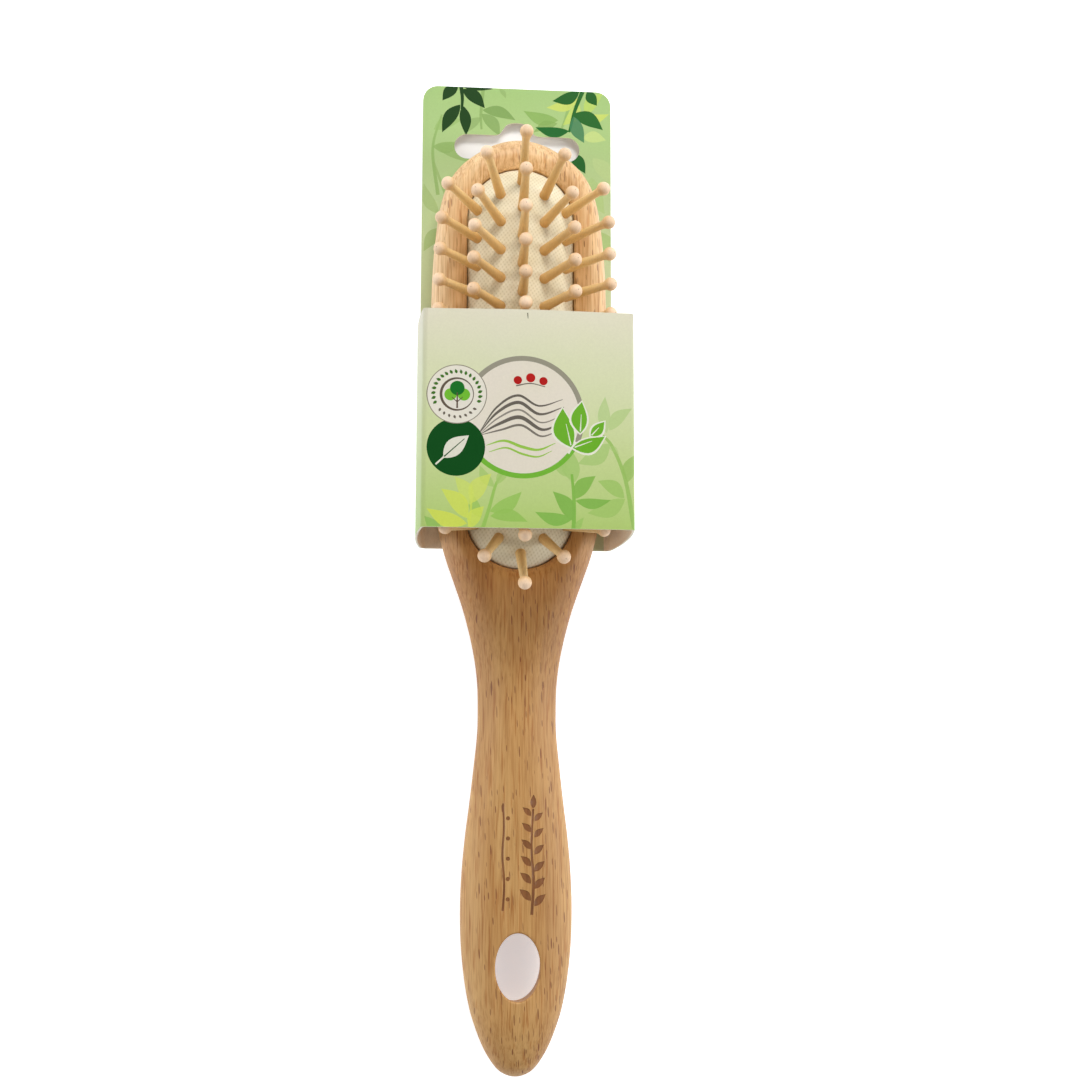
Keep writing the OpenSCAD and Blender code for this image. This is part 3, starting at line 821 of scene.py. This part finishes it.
# --- sleeve artwork; x as seen on the front
CIRC, CR = (-1.4, 28.0), 14.0
STRAND, LIME = (104, 98, 90), (150, 196, 78)
front_art = [
    # soft foliage
    (stroke([(23.9, 2.0), (21.9, 14.0), (19.0, 21.5), (16.6, 24.4)], 1.0, 0.6), (150, 190, 96), 0.85),
    (leaf((21.8, 9.8), (13.2, 6.4), 0.4, 0.1), (160, 197, 104), 0.8),
    (leaf((21.6, 10.0), (15.6, 13.8), 0.44, -0.1), (158, 196, 104), 0.85),
    (leaf((22.4, 13.6), (24.4, 20.2), 0.42, 0.1), (152, 190, 98), 0.8),
    (leaf((17.6, 24.8), (17.3, 33.2), 0.34, 0.05), (182, 206, 140), 0.85),
    (leaf((18.2, 25.4), (23.4, 30.6), 0.4, 0.1), (182, 206, 138), 0.85),
    (leaf((18.4, 22.4), (11.0, 17.6), 0.44, 0.1), (170, 201, 122), 0.85),
    (leaf((18.0, 21.8), (20.4, 19.8), 0.4, 0.1), (170, 201, 122), 0.5),
    (leaf((5.2, 18.6), (10.4, 12.2), 0.2, 0.1), (160, 196, 110), 0.4),
    (leaf((10.4, 13.4), (9.2, 21.2), 0.52, 0.06), (166, 200, 116), 0.9),
    (leaf((8.6, 14.6), (5.2, 18.2), 0.5, -0.1), (166, 200, 116), 0.8),
    (stroke([(10.1, 2.2), (10.2, 9.0), (9.7, 15.2)], 1.0, 0.6), (130, 184, 78), 0.95),
    (leaf((10.4, 9.6), (15.1, 14.9), 0.46, 0.1), (134, 184, 82), 0.95),
    (leaf((10.5, 9.2), (18.6, 9.5), 0.3, -0.1), (130, 182, 80), 0.95),
    (leaf((10.0, 4.6), (5.4, 11.2), 0.42, -0.1), (130, 182, 80), 0.95),
    (leaf((9.9, 5.0), (1.4, 6.5), 0.34, 0.1), (132, 184, 82), 0.95),
    (leaf((10.8, 2.0), (12.4, 5.4), 0.4, 0.1), (150, 194, 96), 0.7),
    (stroke([(-10.4, 2.2), (-8.8, 7.4), (-7.4, 12.5), (-5.6, 15.6)], 0.9, 0.5), (150, 194, 92), 0.9),
    (leaf((-8.7, 6.4), (-1.6, 11.0), 0.38, -0.1), (152, 196, 94), 0.9),
    (leaf((-8.6, 5.4), (-0.2, 4.2), 0.34, 0.1), (150, 194, 92), 0.9),
    (leaf((-10.6, 5.0), (-12.7, 10.6), 0.42, 0.1), (158, 198, 96), 0.85),
    (leaf((-7.8, 12.0), (-11.0, 16.8), 0.4, 0.1), (166, 200, 112), 0.8),
    (leaf((-7.2, 12.6), (-4.0, 16.2), 0.42, 0.1), (166, 200, 112), 0.8),
    (leaf((-19.5, 2.4), (-23.2, 5.2), 0.5, 0.1), (140, 186, 92), 0.8),
    (stroke([(-13.4, 2.2), (-12.9, 7.6), (-12.8, 12.4)], 0.6, 0.4), (206, 222, 92), 0.7),
    (leaf((-12.9, 8.2), (-8.4, 15.0), 0.46, 0.1), (208, 222, 100), 0.75),
    (leaf((-13.0, 7.8), (-16.6, 14.2), 0.46, -0.1), (206, 222, 104), 0.7),
    (leaf((-13.6, 4.8), (-19.6, 11.4), 0.42, -0.1), (208, 222, 92), 0.85),
    (leaf((-13.8, 3.6), (-22.8, 6.9), 0.36, 0.08), (210, 222, 86), 0.85),
    (leaf((-13.2, 2.6), (-10.0, 7.6), 0.5, 0.1), (206, 222, 92), 0.8),
    # round field with a two-tone ring
    (disc(CIRC, CR, 90), (151, 147, 131), 1),
    (arc(CIRC, CR - 1.3, CR, -165, -33, 44), (116, 182, 58), 1),
    (disc(CIRC, CR - 1.15, 90), (227, 219, 205), 1),
    # three berries
    (stroke([(-3.0, 35.1), (0.3, 35.7), (3.6, 35.0)], 0.3, 0.2), (112, 104, 92), 1),
    (disc((-2.6, 36.4), 0.95, 22), (178, 26, 24), 1),
    (disc((0.3, 37.0), 1.05, 22), (184, 28, 26), 1),
    (disc((3.2, 36.3), 0.95, 22), (178, 26, 24), 1),
    # a flowing lock of hair
    (stroke([(-11.0, 24.6), (-7.4, 30.0), (-2.6, 32.9), (2.2, 30.6), (7.6, 32.2)], 0.14, 0.12, swell=0.42), STRAND, 1),
    (stroke([(-11.0, 24.4), (-7.2, 28.9), (-2.4, 31.3), (2.4, 28.7), (7.9, 30.5)], 0.14, 0.12, swell=0.62), STRAND, 1),
    (stroke([(-10.9, 24.2), (-6.9, 27.7), (-2.2, 29.6), (2.7, 26.8), (7.6, 28.6)], 0.14, 0.12, swell=0.30), (140, 134, 124), 1),
    (stroke([(-10.8, 24.0), (-6.6, 26.4), (-2.0, 27.9), (2.9, 25.2), (7.0, 26.7)], 0.14, 0.12, swell=0.74), STRAND, 1),
    (stroke([(-10.6, 23.8), (-6.2, 25.0), (-1.8, 26.1), (2.6, 23.7), (6.2, 24.8)], 0.14, 0.12, swell=0.40), (120, 114, 104), 1),
    (stroke([(-9.6, 21.4), (-5.6, 22.5), (-1.6, 21.2), (2.2, 20.6), (6.0, 22.2)], 0.16, 0.14, swell=0.52), LIME, 1),
    (stroke([(-9.0, 19.9), (-5.2, 20.9), (-1.6, 19.6), (2.0, 19.0), (5.2, 20.4)], 0.14, 0.12, swell=0.34), LIME, 1),
    # deep green disc with a plain white leaf
    (disc((-16.4, 20.9), 6.55, 60), DEEP, 1),
    (leaf((-19.2, 18.4), (-13.5, 23.6), 0.5, 0.03), (224, 222, 208), 1),
    (stroke([(-20.5, 17.3), (-17.7, 19.9), (-14.5, 22.8)], 0.34, 0.16), DEEP, 1),
    (stroke([(-20.9, 16.9), (-19.0, 18.7)], 0.4, 0.4), (224, 222, 208), 1),
    # tree badge
    (disc((-16.3, 33.0), 6.8, 60), (140, 134, 118), 1),
    (disc((-16.3, 33.0), 6.6, 60), (229, 224, 212), 1),
    (disc((-16.3, 33.0), 3.85, 44), (96, 84, 72), 1),
    (disc((-16.1, 33.0), 3.45, 44), (226, 221, 210), 1),
    (disc((-17.7, 32.9), 1.4, 22), (112, 186, 52), 1),
    (disc((-14.7, 32.9), 1.4, 22), (112, 186, 52), 1),
    (disc((-16.2, 34.4), 1.65, 24), (20, 112, 36), 1),
    (stroke([(-16.2, 29.8), (-16.2, 33.4)], 0.4, 0.25), (92, 74, 62), 1),
    (stroke([(-16.2, 31.2), (-17.4, 32.3)], 0.22, 0.18), (92, 74, 62), 1),
    (stroke([(-16.2, 31.2), (-15.0, 32.3)], 0.22, 0.18), (92, 74, 62), 1),
]
for k in range(19):
    a = math.radians(200 - 220 * k / 18)
    for q in (0,):
        c0 = (-16.3 + 4.75 * math.cos(a), 33.0 + 4.75 * math.sin(a))
        c1 = (-16.3 + 5.85 * math.cos(a + 0.07), 33.0 + 5.75 * math.sin(a + 0.07))
        front_art.append((leaf(c0, c1, 0.62, n=7), (66, 112, 40), 1))
for k in range(8):
    a = math.radians(222 + 96 * k / 7)
    c0 = (-16.3 + 4.85 * math.cos(a), 33.0 + 4.85 * math.sin(a))
    c1 = (-16.3 + 5.75 * math.cos(a + 0.07), 33.0 + 5.65 * math.sin(a + 0.07))
    front_art.append((leaf(c0, c1, 0.62, n=7), (104, 96, 84), 1))
# bright sprig with pale outlines
WHITE = (232, 232, 216)
for a, b, w, bd in (((9.6, 21.3), (7.6, 30.2), 0.5, 0.10), ((11.6, 24.6), (12.0, 31.8), 0.5, 0.06),
                    ((14.0, 24.0), (17.1, 27.4), 0.52, -0.04), ((9.9, 21.2), (17.2, 24.0), 0.42, -0.10)):
    front_art.append((leaf(a, b, w, bd, grow=0.42), WHITE, 1))
    front_art.append((leaf(a, b, w, bd), GREEN, 1))
    m0 = np.array(a) + (np.array(b) - np.array(a)) * 0.06
    m1 = np.array(a) + (np.array(b) - np.array(a)) * 0.6
    front_art.append((stroke([tuple(m0), tuple(m1)], 0.3, 0.12), WHITE, 1))
front_art.append((stroke([(8.9, 19.9), (9.8, 21.4), (10.6, 22.6)], 0.5, 0.35), WHITE, 1))
# a small dark mark at the top centre
front_art.append((stroke([(-0.45, 52.0), (-0.35, 50.7)], 0.28, 0.16), (92, 88, 66), 0.9))

U0, U1 = SU[0], SU[-1]
band_polys = [np.column_stack([U_FRONT - a[0][:, 0], np.clip(a[0][:, 1], SLEEVE_Y0 + 0.02, SLEEVE_Y1 - 0.02)]) for a in front_art]
columns = [u for u in SU[1:-1]]
front_cols = np.linspace(SU[i_front], SU[i_front] + 2 * SP[i_front, 0], 16)[1:-1]
vrows = np.linspace(SLEEVE_Y0, SLEEVE_Y1, 23)
band_loop = ([(U0, v) for v in vrows[::-1]] + [(u, SLEEVE_Y0) for u in np.sort(np.concatenate([columns, front_cols]))]
             + [(U1, v) for v in vrows] + [(u, SLEEVE_Y1) for u in np.sort(np.concatenate([columns, front_cols]))[::-1]])
lines = [np.array([(u, v) for v in vrows]) for u in columns]
band_free = np.array([(u, v) for u in front_cols for v in vrows[1:-1]])
b2, btri, btag = triangulate([np.array(band_loop)], band_polys, band_free, lines)
bcol = paint(b2, btri, btag, 1, [a[1:] for a in front_art], BAND_STOPS, b2[:, 1])
# painted shade: the ink is a little darker down the side walls, the more so the steeper the wall
bcol *= (1 - 0.17 * np.abs(section_at(b2[:, 0])[1][:, 0]))[np.array(btri)][..., None]


def band_place(v2):
    q, n = section_at(v2[:, 0])
    on_front = n[:, 1] > 0.999
    bow = np.where(on_front, np.cos(np.pi / 2 * np.clip(q[:, 0] / FRONT_X, -1, 1)) ** 2, 0)
    bow = bow * (0.15 + 0.75 * smoothstep((v2[:, 1] - 6) / 46))
    mid = np.column_stack([q[:, 0], v2[:, 1], q[:, 1] + bow])
    nor = np.column_stack([n[:, 0], np.zeros(len(n)), n[:, 1]])
    return mid, nor


# ---------------------------------------------------------------- materials
class Mat:
    def __init__(self, name):
        self.m = bpy.data.materials.new(name)
        self.m.use_nodes = True
        self.t = self.m.node_tree
        self.b = self.t.nodes["Principled BSDF"]

    def node(self, kind, **kw):
        n = self.t.nodes.new(kind)
        for k, v in kw.items():
            if k.startswith("i_"):
                n.inputs[k[2:].replace("_", " ")].default_value = v
            else:
                setattr(n, k, v)
        return n

    def link(self, a, b):
        self.t.links.new(a, b)
        return b

    def coords(self, sx, sy, sz):
        """Object coordinates in millimetres, scaled."""
        tc = self.node("ShaderNodeTexCoord")
        mp = self.node("ShaderNodeMapping")
        mp.inputs["Scale"].default_value = (1000 * sx, 1000 * sy, 1000 * sz)
        self.link(tc.outputs["Object"], mp.inputs["Vector"])
        return mp.outputs["Vector"]

    def noise(self, vec, scale=1.0, detail=3.0, rough=0.55, dist=0.0):
        n = self.node("ShaderNodeTexNoise")
        n.inputs["Scale"].default_value = scale
        n.inputs["Detail"].default_value = detail
        n.inputs["Roughness"].default_value = rough
        n.inputs["Distortion"].default_value = dist
        self.link(vec, n.inputs["Vector"])
        return n.outputs["Fac"]

    def ramp(self, fac, stops, mode="LINEAR"):
        n = self.node("ShaderNodeValToRGB")
        n.color_ramp.interpolation = mode
        el = n.color_ramp.elements
        while len(el) > 1:
            el.remove(el[0])
        el[0].position, el[0].color = stops[0][0], stops[0][1]
        for p, c in stops[1:]:
            e = el.new(p)
            e.color = c
        self.link(fac, n.inputs["Fac"])
        return n.outputs["Color"]

    def mixc(self, fac, a, b, blend="MIX"):
        n = self.node("ShaderNodeMix", data_type="RGBA", blend_type=blend)
        if isinstance(fac, float):
            n.inputs[0].default_value = fac
        else:
            self.link(fac, n.inputs[0])
        for i, c in ((6, a), (7, b)):
            if isinstance(c, tuple):
                n.inputs[i].default_value = c
            else:
                self.link(c, n.inputs[i])
        return n.outputs[2]

    def math(self, op, a, b=None, c=None, clamp=False):
        n = self.node("ShaderNodeMath", operation=op, use_clamp=clamp)
        for i, v in enumerate((a, b, c)):
            if v is None:
                continue
            if isinstance(v, (int, float)):
                n.inputs[i].default_value = v
            else:
                self.link(v, n.inputs[i])
        return n.outputs[0]

    def attr(self, name, out="Fac"):
        n = self.node("ShaderNodeAttribute", attribute_name=name)
        return n.outputs[out]

    def bump(self, height, strength=0.3, dist=0.0002, normal=None):
        n = self.node("ShaderNodeBump")
        n.inputs["Strength"].default_value = strength
        n.inputs["Distance"].default_value = dist
        self.link(height, n.inputs["Height"])
        if normal is not None:
            self.link(normal, n.inputs["Normal"])
        return n.outputs["Normal"]


def grey(v):
    return (v, v, v, 1.0)


def beech():
    m = Mat("beech")
    wave = m.noise(m.coords(1 / 9, 1 / 60, 1 / 9), 1, 2, 0.5)
    warp = m.node("ShaderNodeTexCoord").outputs["Object"]
    broad = m.noise(m.coords(1 / 7, 1 / 55, 1 / 7), 1, 3, 0.55)
    streak = m.noise(m.coords(1 / 1.3, 1 / 30, 1 / 1.3), 1, 4, 0.6, 0.25)
    fine = m.noise(m.coords(1 / 0.42, 1 / 12, 1 / 0.42), 1, 2, 0.6)
    across = m.node("ShaderNodeSeparateXYZ")
    m.link(m.coords(1, 1, 1), across.inputs[0])
    # the pores thin out towards the left edge
    crowd = m.math("ADD", m.math("MULTIPLY", m.math("DIVIDE", m.math("ADD", across.outputs[0], 9.0), 14.0, clamp=True), 0.5), 0.5)
    base = m.ramp(broad, [(0.30, rgba((192, 143, 84))), (0.5, rgba((203, 155, 94))), (0.72, rgba((211, 167, 106)))])
    s = m.ramp(streak, [(0.32, rgba((238, 229, 216))), (0.5, rgba((252, 250, 247))), (0.66, grey(1.05))])
    base = m.mixc(0.8, base, s, "MULTIPLY")
    f = m.ramp(fine, [(0.35, rgba((232, 220, 204))), (0.52, grey(1.0)), (0.7, grey(1.04))])
    base = m.mixc(0.8, base, f, "MULTIPLY")
    # short dark pores and rays, crisp and lens-shaped
    dark = None
    for sx, sy, thr, share, seed in ((1 / 0.92, 1 / 7.5, 0.19, 0.86, 0.0), (1 / 0.80, 1 / 5.0, 0.19, 0.74, 3.7), (1 / 1.15, 1 / 10.5, 0.16, 0.82, 9.1)):
        v = m.node("ShaderNodeTexVoronoi", feature="F1", distance="EUCLIDEAN")
        v.inputs["Scale"].default_value = 1
        v.inputs["Randomness"].default_value = 1
        mp = m.node("ShaderNodeMapping")
        mp.inputs["Location"].default_value = (seed, seed * 1.3, seed * 0.7)
        mp.inputs["Rotation"].default_value = (0, 0, 0)
        skew = m.node("ShaderNodeCombineXYZ")
        m.link(m.math("MULTIPLY", m.math("ADD", across.outputs[0], m.math("MULTIPLY", across.outputs[1], 0.05)), sx), skew.inputs[0])
        m.link(m.math("MULTIPLY", across.outputs[1], sy), skew.inputs[1])
        m.link(m.math("MULTIPLY", across.outputs[2], sx * 0.24), skew.inputs[2])
        m.link(skew.outputs[0], mp.inputs["Vector"])
        m.link(mp.outputs["Vector"], v.inputs["Vector"])
        near_ = m.math("SUBTRACT", 1.0, m.math("DIVIDE", v.outputs["Distance"], thr), clamp=True)
        pick = m.node("ShaderNodeSeparateColor")
        m.link(v.outputs["Color"], pick.inputs[0])
        some = m.math("LESS_THAN", pick.outputs[0], m.math("MULTIPLY", crowd, share))
        weight = m.math("MULTIPLY", m.math("MULTIPLY", m.math("MINIMUM", m.math("MULTIPLY", near_, 5.0), 1.0), some), m.math("ADD", m.math("MULTIPLY", pick.outputs[1], 0.6), 0.4))
        dark = weight if dark is None else m.math("MAXIMUM", dark, weight)
    # the rays read as thin dashes from above and as soft patches on the sides
    facing = m.node("ShaderNodeSeparateXYZ")
    m.link(m.node("ShaderNodeNewGeometry").outputs["Normal"], facing.inputs[0])
    flat = m.math("DIVIDE", m.math("SUBTRACT", m.math("ABSOLUTE", facing.outputs[2]), 0.15), 0.55, clamp=True)
    dark = m.math("MULTIPLY", dark, m.math("ADD", m.math("MULTIPLY", flat, 0.68), 0.32))
    base = m.mixc(m.math("MULTIPLY", dark, 0.82), base, rgba((122, 66, 28)))
    lines = m.noise(m.coords(1 / 0.42, 1 / 11, 1 / 1.2), 1, 2, 0.5)
    base = m.mixc(1.0, base, m.ramp(lines, [(0.55, grey(1.0)), (0.66, rgba((232, 211, 188)))]), "MULTIPLY")
    # painted light: the head end is painted paler and lighter, standing in for the stronger light that falls on the
    # head
    sep = m.node("ShaderNodeSeparateXYZ")
    m.link(m.coords(1, 1, 1), sep.inputs[0])
    head = m.math("DIVIDE", m.math("ADD", sep.outputs[1], 6.0), 34.0, clamp=True)
    pale = m.node("ShaderNodeMix", data_type="RGBA", blend_type="MULTIPLY")
    pale.inputs[0].default_value = 1.0
    m.link(base, pale.inputs[6])
    pale.inputs[7].default_value = (1.40, 1.72, 2.62, 1)
    base = m.mixc(head, base, pale.outputs[2])
    # painted shade: the neck just below the sleeve is painted darker and more saturated, for the sleeve's shadow
    # falling on it
    sleeve_shade_in = m.math("DIVIDE", m.math("ADD", sep.outputs[1], 42.0), 34.0, clamp=True)
    sleeve_shade_out = m.math("DIVIDE", m.math("SUBTRACT", 12.0, sep.outputs[1]), 14.0, clamp=True)
    base = m.mixc(m.math("MULTIPLY", m.math("MULTIPLY", sleeve_shade_in, sleeve_shade_out), 0.9), base, m.mixc(1.0, base, rgba((236, 219, 196)), "MULTIPLY"))
    # burnt motif
    burn = m.attr("burn")
    toast = m.ramp(m.noise(m.coords(1 / 0.7, 1 / 5, 1 / 0.7), 1, 3), [(0.3, rgba((102, 52, 16))), (0.7, rgba((136, 78, 32)))])
    base = m.mixc(m.math("MULTIPLY", burn, 0.84), base, toast)
    m.link(base, m.b.inputs["Base Color"])
    rough = m.ramp(streak, [(0.3, grey(0.46)), (0.7, grey(0.58))])
    m.link(rough, m.b.inputs["Roughness"])
    m.b.inputs["Specular IOR Level"].default_value = 0.52
    h = m.math("SUBTRACT", m.math("MULTIPLY", fine, 0.45), m.math("MULTIPLY", dark, 0.8))
    m.link(m.bump(h, 0.35, 0.00012), m.b.inputs["Normal"])
    return m.m


def pin_wood():
    m = Mat("pin_wood")
    t = m.attr("pin_t")
    r = m.attr("pin_rand")
    # darker towards the foot; the ball pales towards its tip, partly the ball's own paler tone and partly a painted
    # highlight
    col = m.ramp(t, [(0.0, rgba((212, 170, 106))), (0.15, rgba((226, 190, 126))), (0.5, rgba((230, 198, 138))), (0.84, rgba((230, 198, 144))),
                     (0.93, rgba((232, 194, 146))), (1.0, rgba((246, 217, 188)))])
    tone = m.ramp(r, [(0.0, grey(0.93)), (0.5, grey(1.0)), (1.0, grey(1.05))])
    col = m.mixc(1.0, col, tone, "MULTIPLY")
    warm = m.ramp(r, [(0.0, rgba((255, 244, 226))), (1.0, rgba((255, 255, 255)))])
    col = m.mixc(0.6, col, warm, "MULTIPLY")
    grain = m.noise(m.coords(1 / 0.28, 1 / 0.6, 1 / 1.6), 1, 3, 0.6)
    g = m.ramp(grain, [(0.3, grey(0.86)), (0.5, grey(0.99)), (0.7, grey(1.05))])
    col = m.mixc(0.7, col, g, "MULTIPLY")
    col = m.mixc(m.math("MULTIPLY", m.attr("pin_pip"), 0.75), col, rgba((120, 78, 50)))
    m.link(col, m.b.inputs["Base Color"])
    m.b.inputs["Roughness"].default_value = 0.5
    m.b.inputs["Specular IOR Level"].default_value = 0.4
    m.b.inputs["Subsurface Weight"].default_value = 0.0
    m.link(m.bump(grain, 0.12, 0.0001), m.b.inputs["Normal"])
    return m.m


def rubber():
    m = Mat("cream_rubber")
    sep = m.node("ShaderNodeSeparateXYZ")
    m.link(m.coords(1, 1, 1), sep.inputs[0])
    x, y = sep.outputs[0], sep.outputs[1]
    k = 2 * math.pi / 0.74
    # two families of slanting lines make small lozenges
    a = m.math("SINE", m.math("MULTIPLY", m.math("ADD", m.math("MULTIPLY", x, 0.86), m.math("MULTIPLY", y, 0.50)), k))
    b = m.math("SINE", m.math("MULTIPLY", m.math("SUBTRACT", m.math("MULTIPLY", x, 0.70), m.math("MULTIPLY", y, 0.72)), k))
    cell = m.math("MULTIPLY", m.math("ADD", a, b), 0.5)
    pat = m.math("ADD", m.math("MULTIPLY", cell, 0.5), 0.5)
    patchy = m.noise(m.coords(1 / 6, 1 / 6, 1 / 6), 1, 2)
    tone = m.ramp(patchy, [(0.35, rgba((235, 226, 196))), (0.65, rgba((244, 237, 212)))])
    dots = m.ramp(pat, [(0.06, rgba((228, 225, 212))), (0.42, rgba((249, 248, 245))), (1.0, rgba((255, 255, 255)))])
    col = m.mixc(0.8, tone, dots, "MULTIPLY")
    dust = m.noise(m.coords(1 / 0.5, 1 / 0.5, 1 / 0.5), 1, 3)
    col = m.mixc(0.35, col, m.ramp(dust, [(0.3, grey(0.92)), (0.6, grey(1.03))]), "MULTIPLY")
    m.link(col, m.b.inputs["Base Color"])
    m.b.inputs["Roughness"].default_value = 0.62
    m.b.inputs["Specular IOR Level"].default_value = 0.35
    m.b.inputs["Sheen Weight"].default_value = 0.08
    m.link(m.bump(pat, 0.30, 0.0001), m.b.inputs["Normal"])
    return m.m


def printed():
    m = Mat("printed_card")
    ink = m.attr("ink", "Color")
    fibre = m.noise(m.coords(1 / 0.5, 1 / 0.5, 1 / 0.5), 1, 4, 0.65)
    tone = m.ramp(fibre, [(0.3, grey(0.965)), (0.7, grey(1.02))])
    col = m.mixc(1.0, ink, tone, "MULTIPLY")
    cloud = m.noise(m.coords(1 / 14, 1 / 14, 1 / 14), 1, 2)
    col = m.mixc(0.6, col, m.ramp(cloud, [(0.3, rgba((252, 254, 246))), (0.7, rgba((255, 255, 255)))]), "MULTIPLY")
    m.link(col, m.b.inputs["Base Color"])
    m.link(m.ramp(fibre, [(0.3, grey(0.40)), (0.7, grey(0.48))]), m.b.inputs["Roughness"])
    m.b.inputs["Specular IOR Level"].default_value = 0.12
    m.link(m.bump(m.math("ADD", fibre, m.math("MULTIPLY", cloud, 4.0)), 0.10, 0.0001), m.b.inputs["Normal"])
    return m.m


def board(name, c0, c1):
    m = Mat(name)
    fibre = m.noise(m.coords(1 / 0.35, 1 / 0.9, 1 / 0.35), 1, 5, 0.7)
    speck = m.noise(m.coords(1 / 2.5, 1 / 2.5, 1 / 2.5), 1, 3)
    col = m.mixc(speck, rgba(c0), rgba(c1))
    col = m.mixc(1.0, col, m.ramp(fibre, [(0.32, grey(0.88)), (0.5, grey(1.0)), (0.7, grey(1.04))]), "MULTIPLY")
    m.link(col, m.b.inputs["Base Color"])
    m.b.inputs["Roughness"].default_value = 0.85
    m.b.inputs["Specular IOR Level"].default_value = 0.2
    m.link(m.bump(fibre, 0.2, 0.0001), m.b.inputs["Normal"])
    return m.m


M_BEECH, M_PIN, M_RUB, M_PRINT = beech(), pin_wood(), rubber(), printed()
M_BOARD = board("plain_card", (248, 234, 212), (253, 242, 224))
M_EDGE = board("cut_edge", (232, 226, 206), (240, 236, 220))

body.data.materials.append(M_BEECH)
cushion.data.materials.append(M_RUB)
for ob, _, _ in pin_objects:
    ob.data.materials.append(M_PIN)
card_keep = [0 in t and 1 not in t for t in ktag]
card = sheet_mesh("printed_hang_card", k2, ktri, card_keep, flat_place, kcol, [M_PRINT, M_BOARD, M_EDGE])
band = sheet_mesh("printed_sleeve_band", b2, btri, [0 in t for t in btag], band_place, bcol, [M_PRINT, M_BOARD, M_EDGE])

# ---------------------------------------------------------------- riding on the CAD bodies
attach(body, "brush")
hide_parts("brush_body")
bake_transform(cushion)
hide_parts("rubber_cushion")
for ob, node, bodyname in pin_objects:
    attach(ob, bodyname)
    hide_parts(node)
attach(card, "sleeve")
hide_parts("hang_card")
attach(band, "sleeve")
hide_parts("sleeve_front_panel", "sleeve_left_wall", "sleeve_right_wall", "sleeve_glue_flap")

# ---------------------------------------------------------------- stage, light, camera
bpy.ops.mesh.primitive_plane_add(size=3.0, location=(0, 0, -0.0015))
floor = bpy.context.object
floor.name = "floor"
fm = Mat("floor")
fl = fm.noise(fm.coords(1 / 300, 1 / 300, 1 / 300), 1, 2)
fm.b.inputs["Roughness"].default_value = 0.9
fm.b.inputs["Specular IOR Level"].default_value = 0.1
# painted light: the floor glows in a cool colour so it reads white around the object; the glow fades out behind the
# card, painting shade into the slot
fm.b.inputs["Emission Color"].default_value = (0.97, 1.06, 1.16, 1)
fsep = fm.node("ShaderNodeSeparateXYZ")
fm.link(fm.coords(1, 1, 1), fsep.inputs[0])
fx, fy = fm.math("ABSOLUTE", fsep.outputs[0]), fsep.outputs[1]
floor_glow_mask = fm.math("DIVIDE", fm.math("SUBTRACT", 90.0, fy), 60.0, clamp=True)
aside = fm.math("DIVIDE", fm.math("SUBTRACT", fx, 19.0), 7.0, clamp=True)
above = fm.math("DIVIDE", fm.math("SUBTRACT", fy, 113.0), 6.0, clamp=True)
floor_glow_mask = fm.math("MAXIMUM", floor_glow_mask, fm.math("MAXIMUM", aside, above))
# painted shade: the floor's glow is dimmer where the handle and the card cover it
hx = fm.math("DIVIDE", fm.math("SUBTRACT", fsep.outputs[0], 0.5), 7.4)
hy = fm.math("DIVIDE", fm.math("ADD", fy, 96.0), 10.0)
under = fm.math("SUBTRACT", 1.3, fm.math("SQRT", fm.math("ADD", fm.math("MULTIPLY", hx, hx), fm.math("MULTIPLY", hy, hy))), clamp=True)
under = fm.math("MINIMUM", fm.math("MULTIPLY", under, 4.0), 1.0)
fm.link(fm.ramp(fl, [(0.3, grey(0.90)), (0.7, grey(0.93))]), fm.b.inputs["Base Color"])
glow = fm.math("MULTIPLY", fm.math("MULTIPLY", floor_glow_mask, 0.62), fm.math("SUBTRACT", 1.0, fm.math("MULTIPLY", under, 0.40)))
fm.link(glow, fm.b.inputs["Emission Strength"])
floor.data.materials.append(fm.m)

world = bpy.data.worlds.new("studio")
bpy.context.scene.world = world
world.use_nodes = True
bg = world.node_tree.nodes["Background"]
bg.inputs["Color"].default_value = (1.0, 0.995, 0.985, 1)
bg.inputs["Strength"].default_value = 0.30


def area(name, loc, aim, size, power, colour=(1, 1, 1)):
    la = bpy.data.lights.new(name, "AREA")
    la.shape = "RECTANGLE"
    la.size, la.size_y = size
    la.energy = power
    la.color = colour
    ob = bpy.data.objects.new(name, la)
    ob.location = loc
    ob.rotation_euler = (Vector(aim) - Vector(loc)).to_track_quat("-Z", "Y").to_euler()
    bpy.context.scene.collection.objects.link(ob)
    return ob


area("key", (0.08, 0.54, 0.48), (0, 0.02, 0), (0.34, 0.22), 2.95, (1, 0.99, 0.97))
area("fill_right", (0.70, -0.03, 0.34), (0, 0, 0), (0.30, 0.60), 2.55, (1, 1, 1))
area("fill_left", (-0.70, -0.03, 0.36), (0, 0, 0), (0.30, 0.60), 2.0, (1, 1, 1))

cam_data = bpy.data.cameras.new("camera")
cam_data.lens = 58.026
cam_data.sensor_width = 36
cam_data.clip_start = 0.01
cam = bpy.data.objects.new("camera", cam_data)
cam.location = (-0.0340746, -0.0541836, 0.4194653)
cam.rotation_euler = (0.1402, -0.0957, 0.0022)
bpy.context.scene.collection.objects.link(cam)
bpy.context.scene.camera = cam
bpy.context.scene.view_settings.view_transform = "Standard"
bpy.context.scene.view_settings.look = "None"
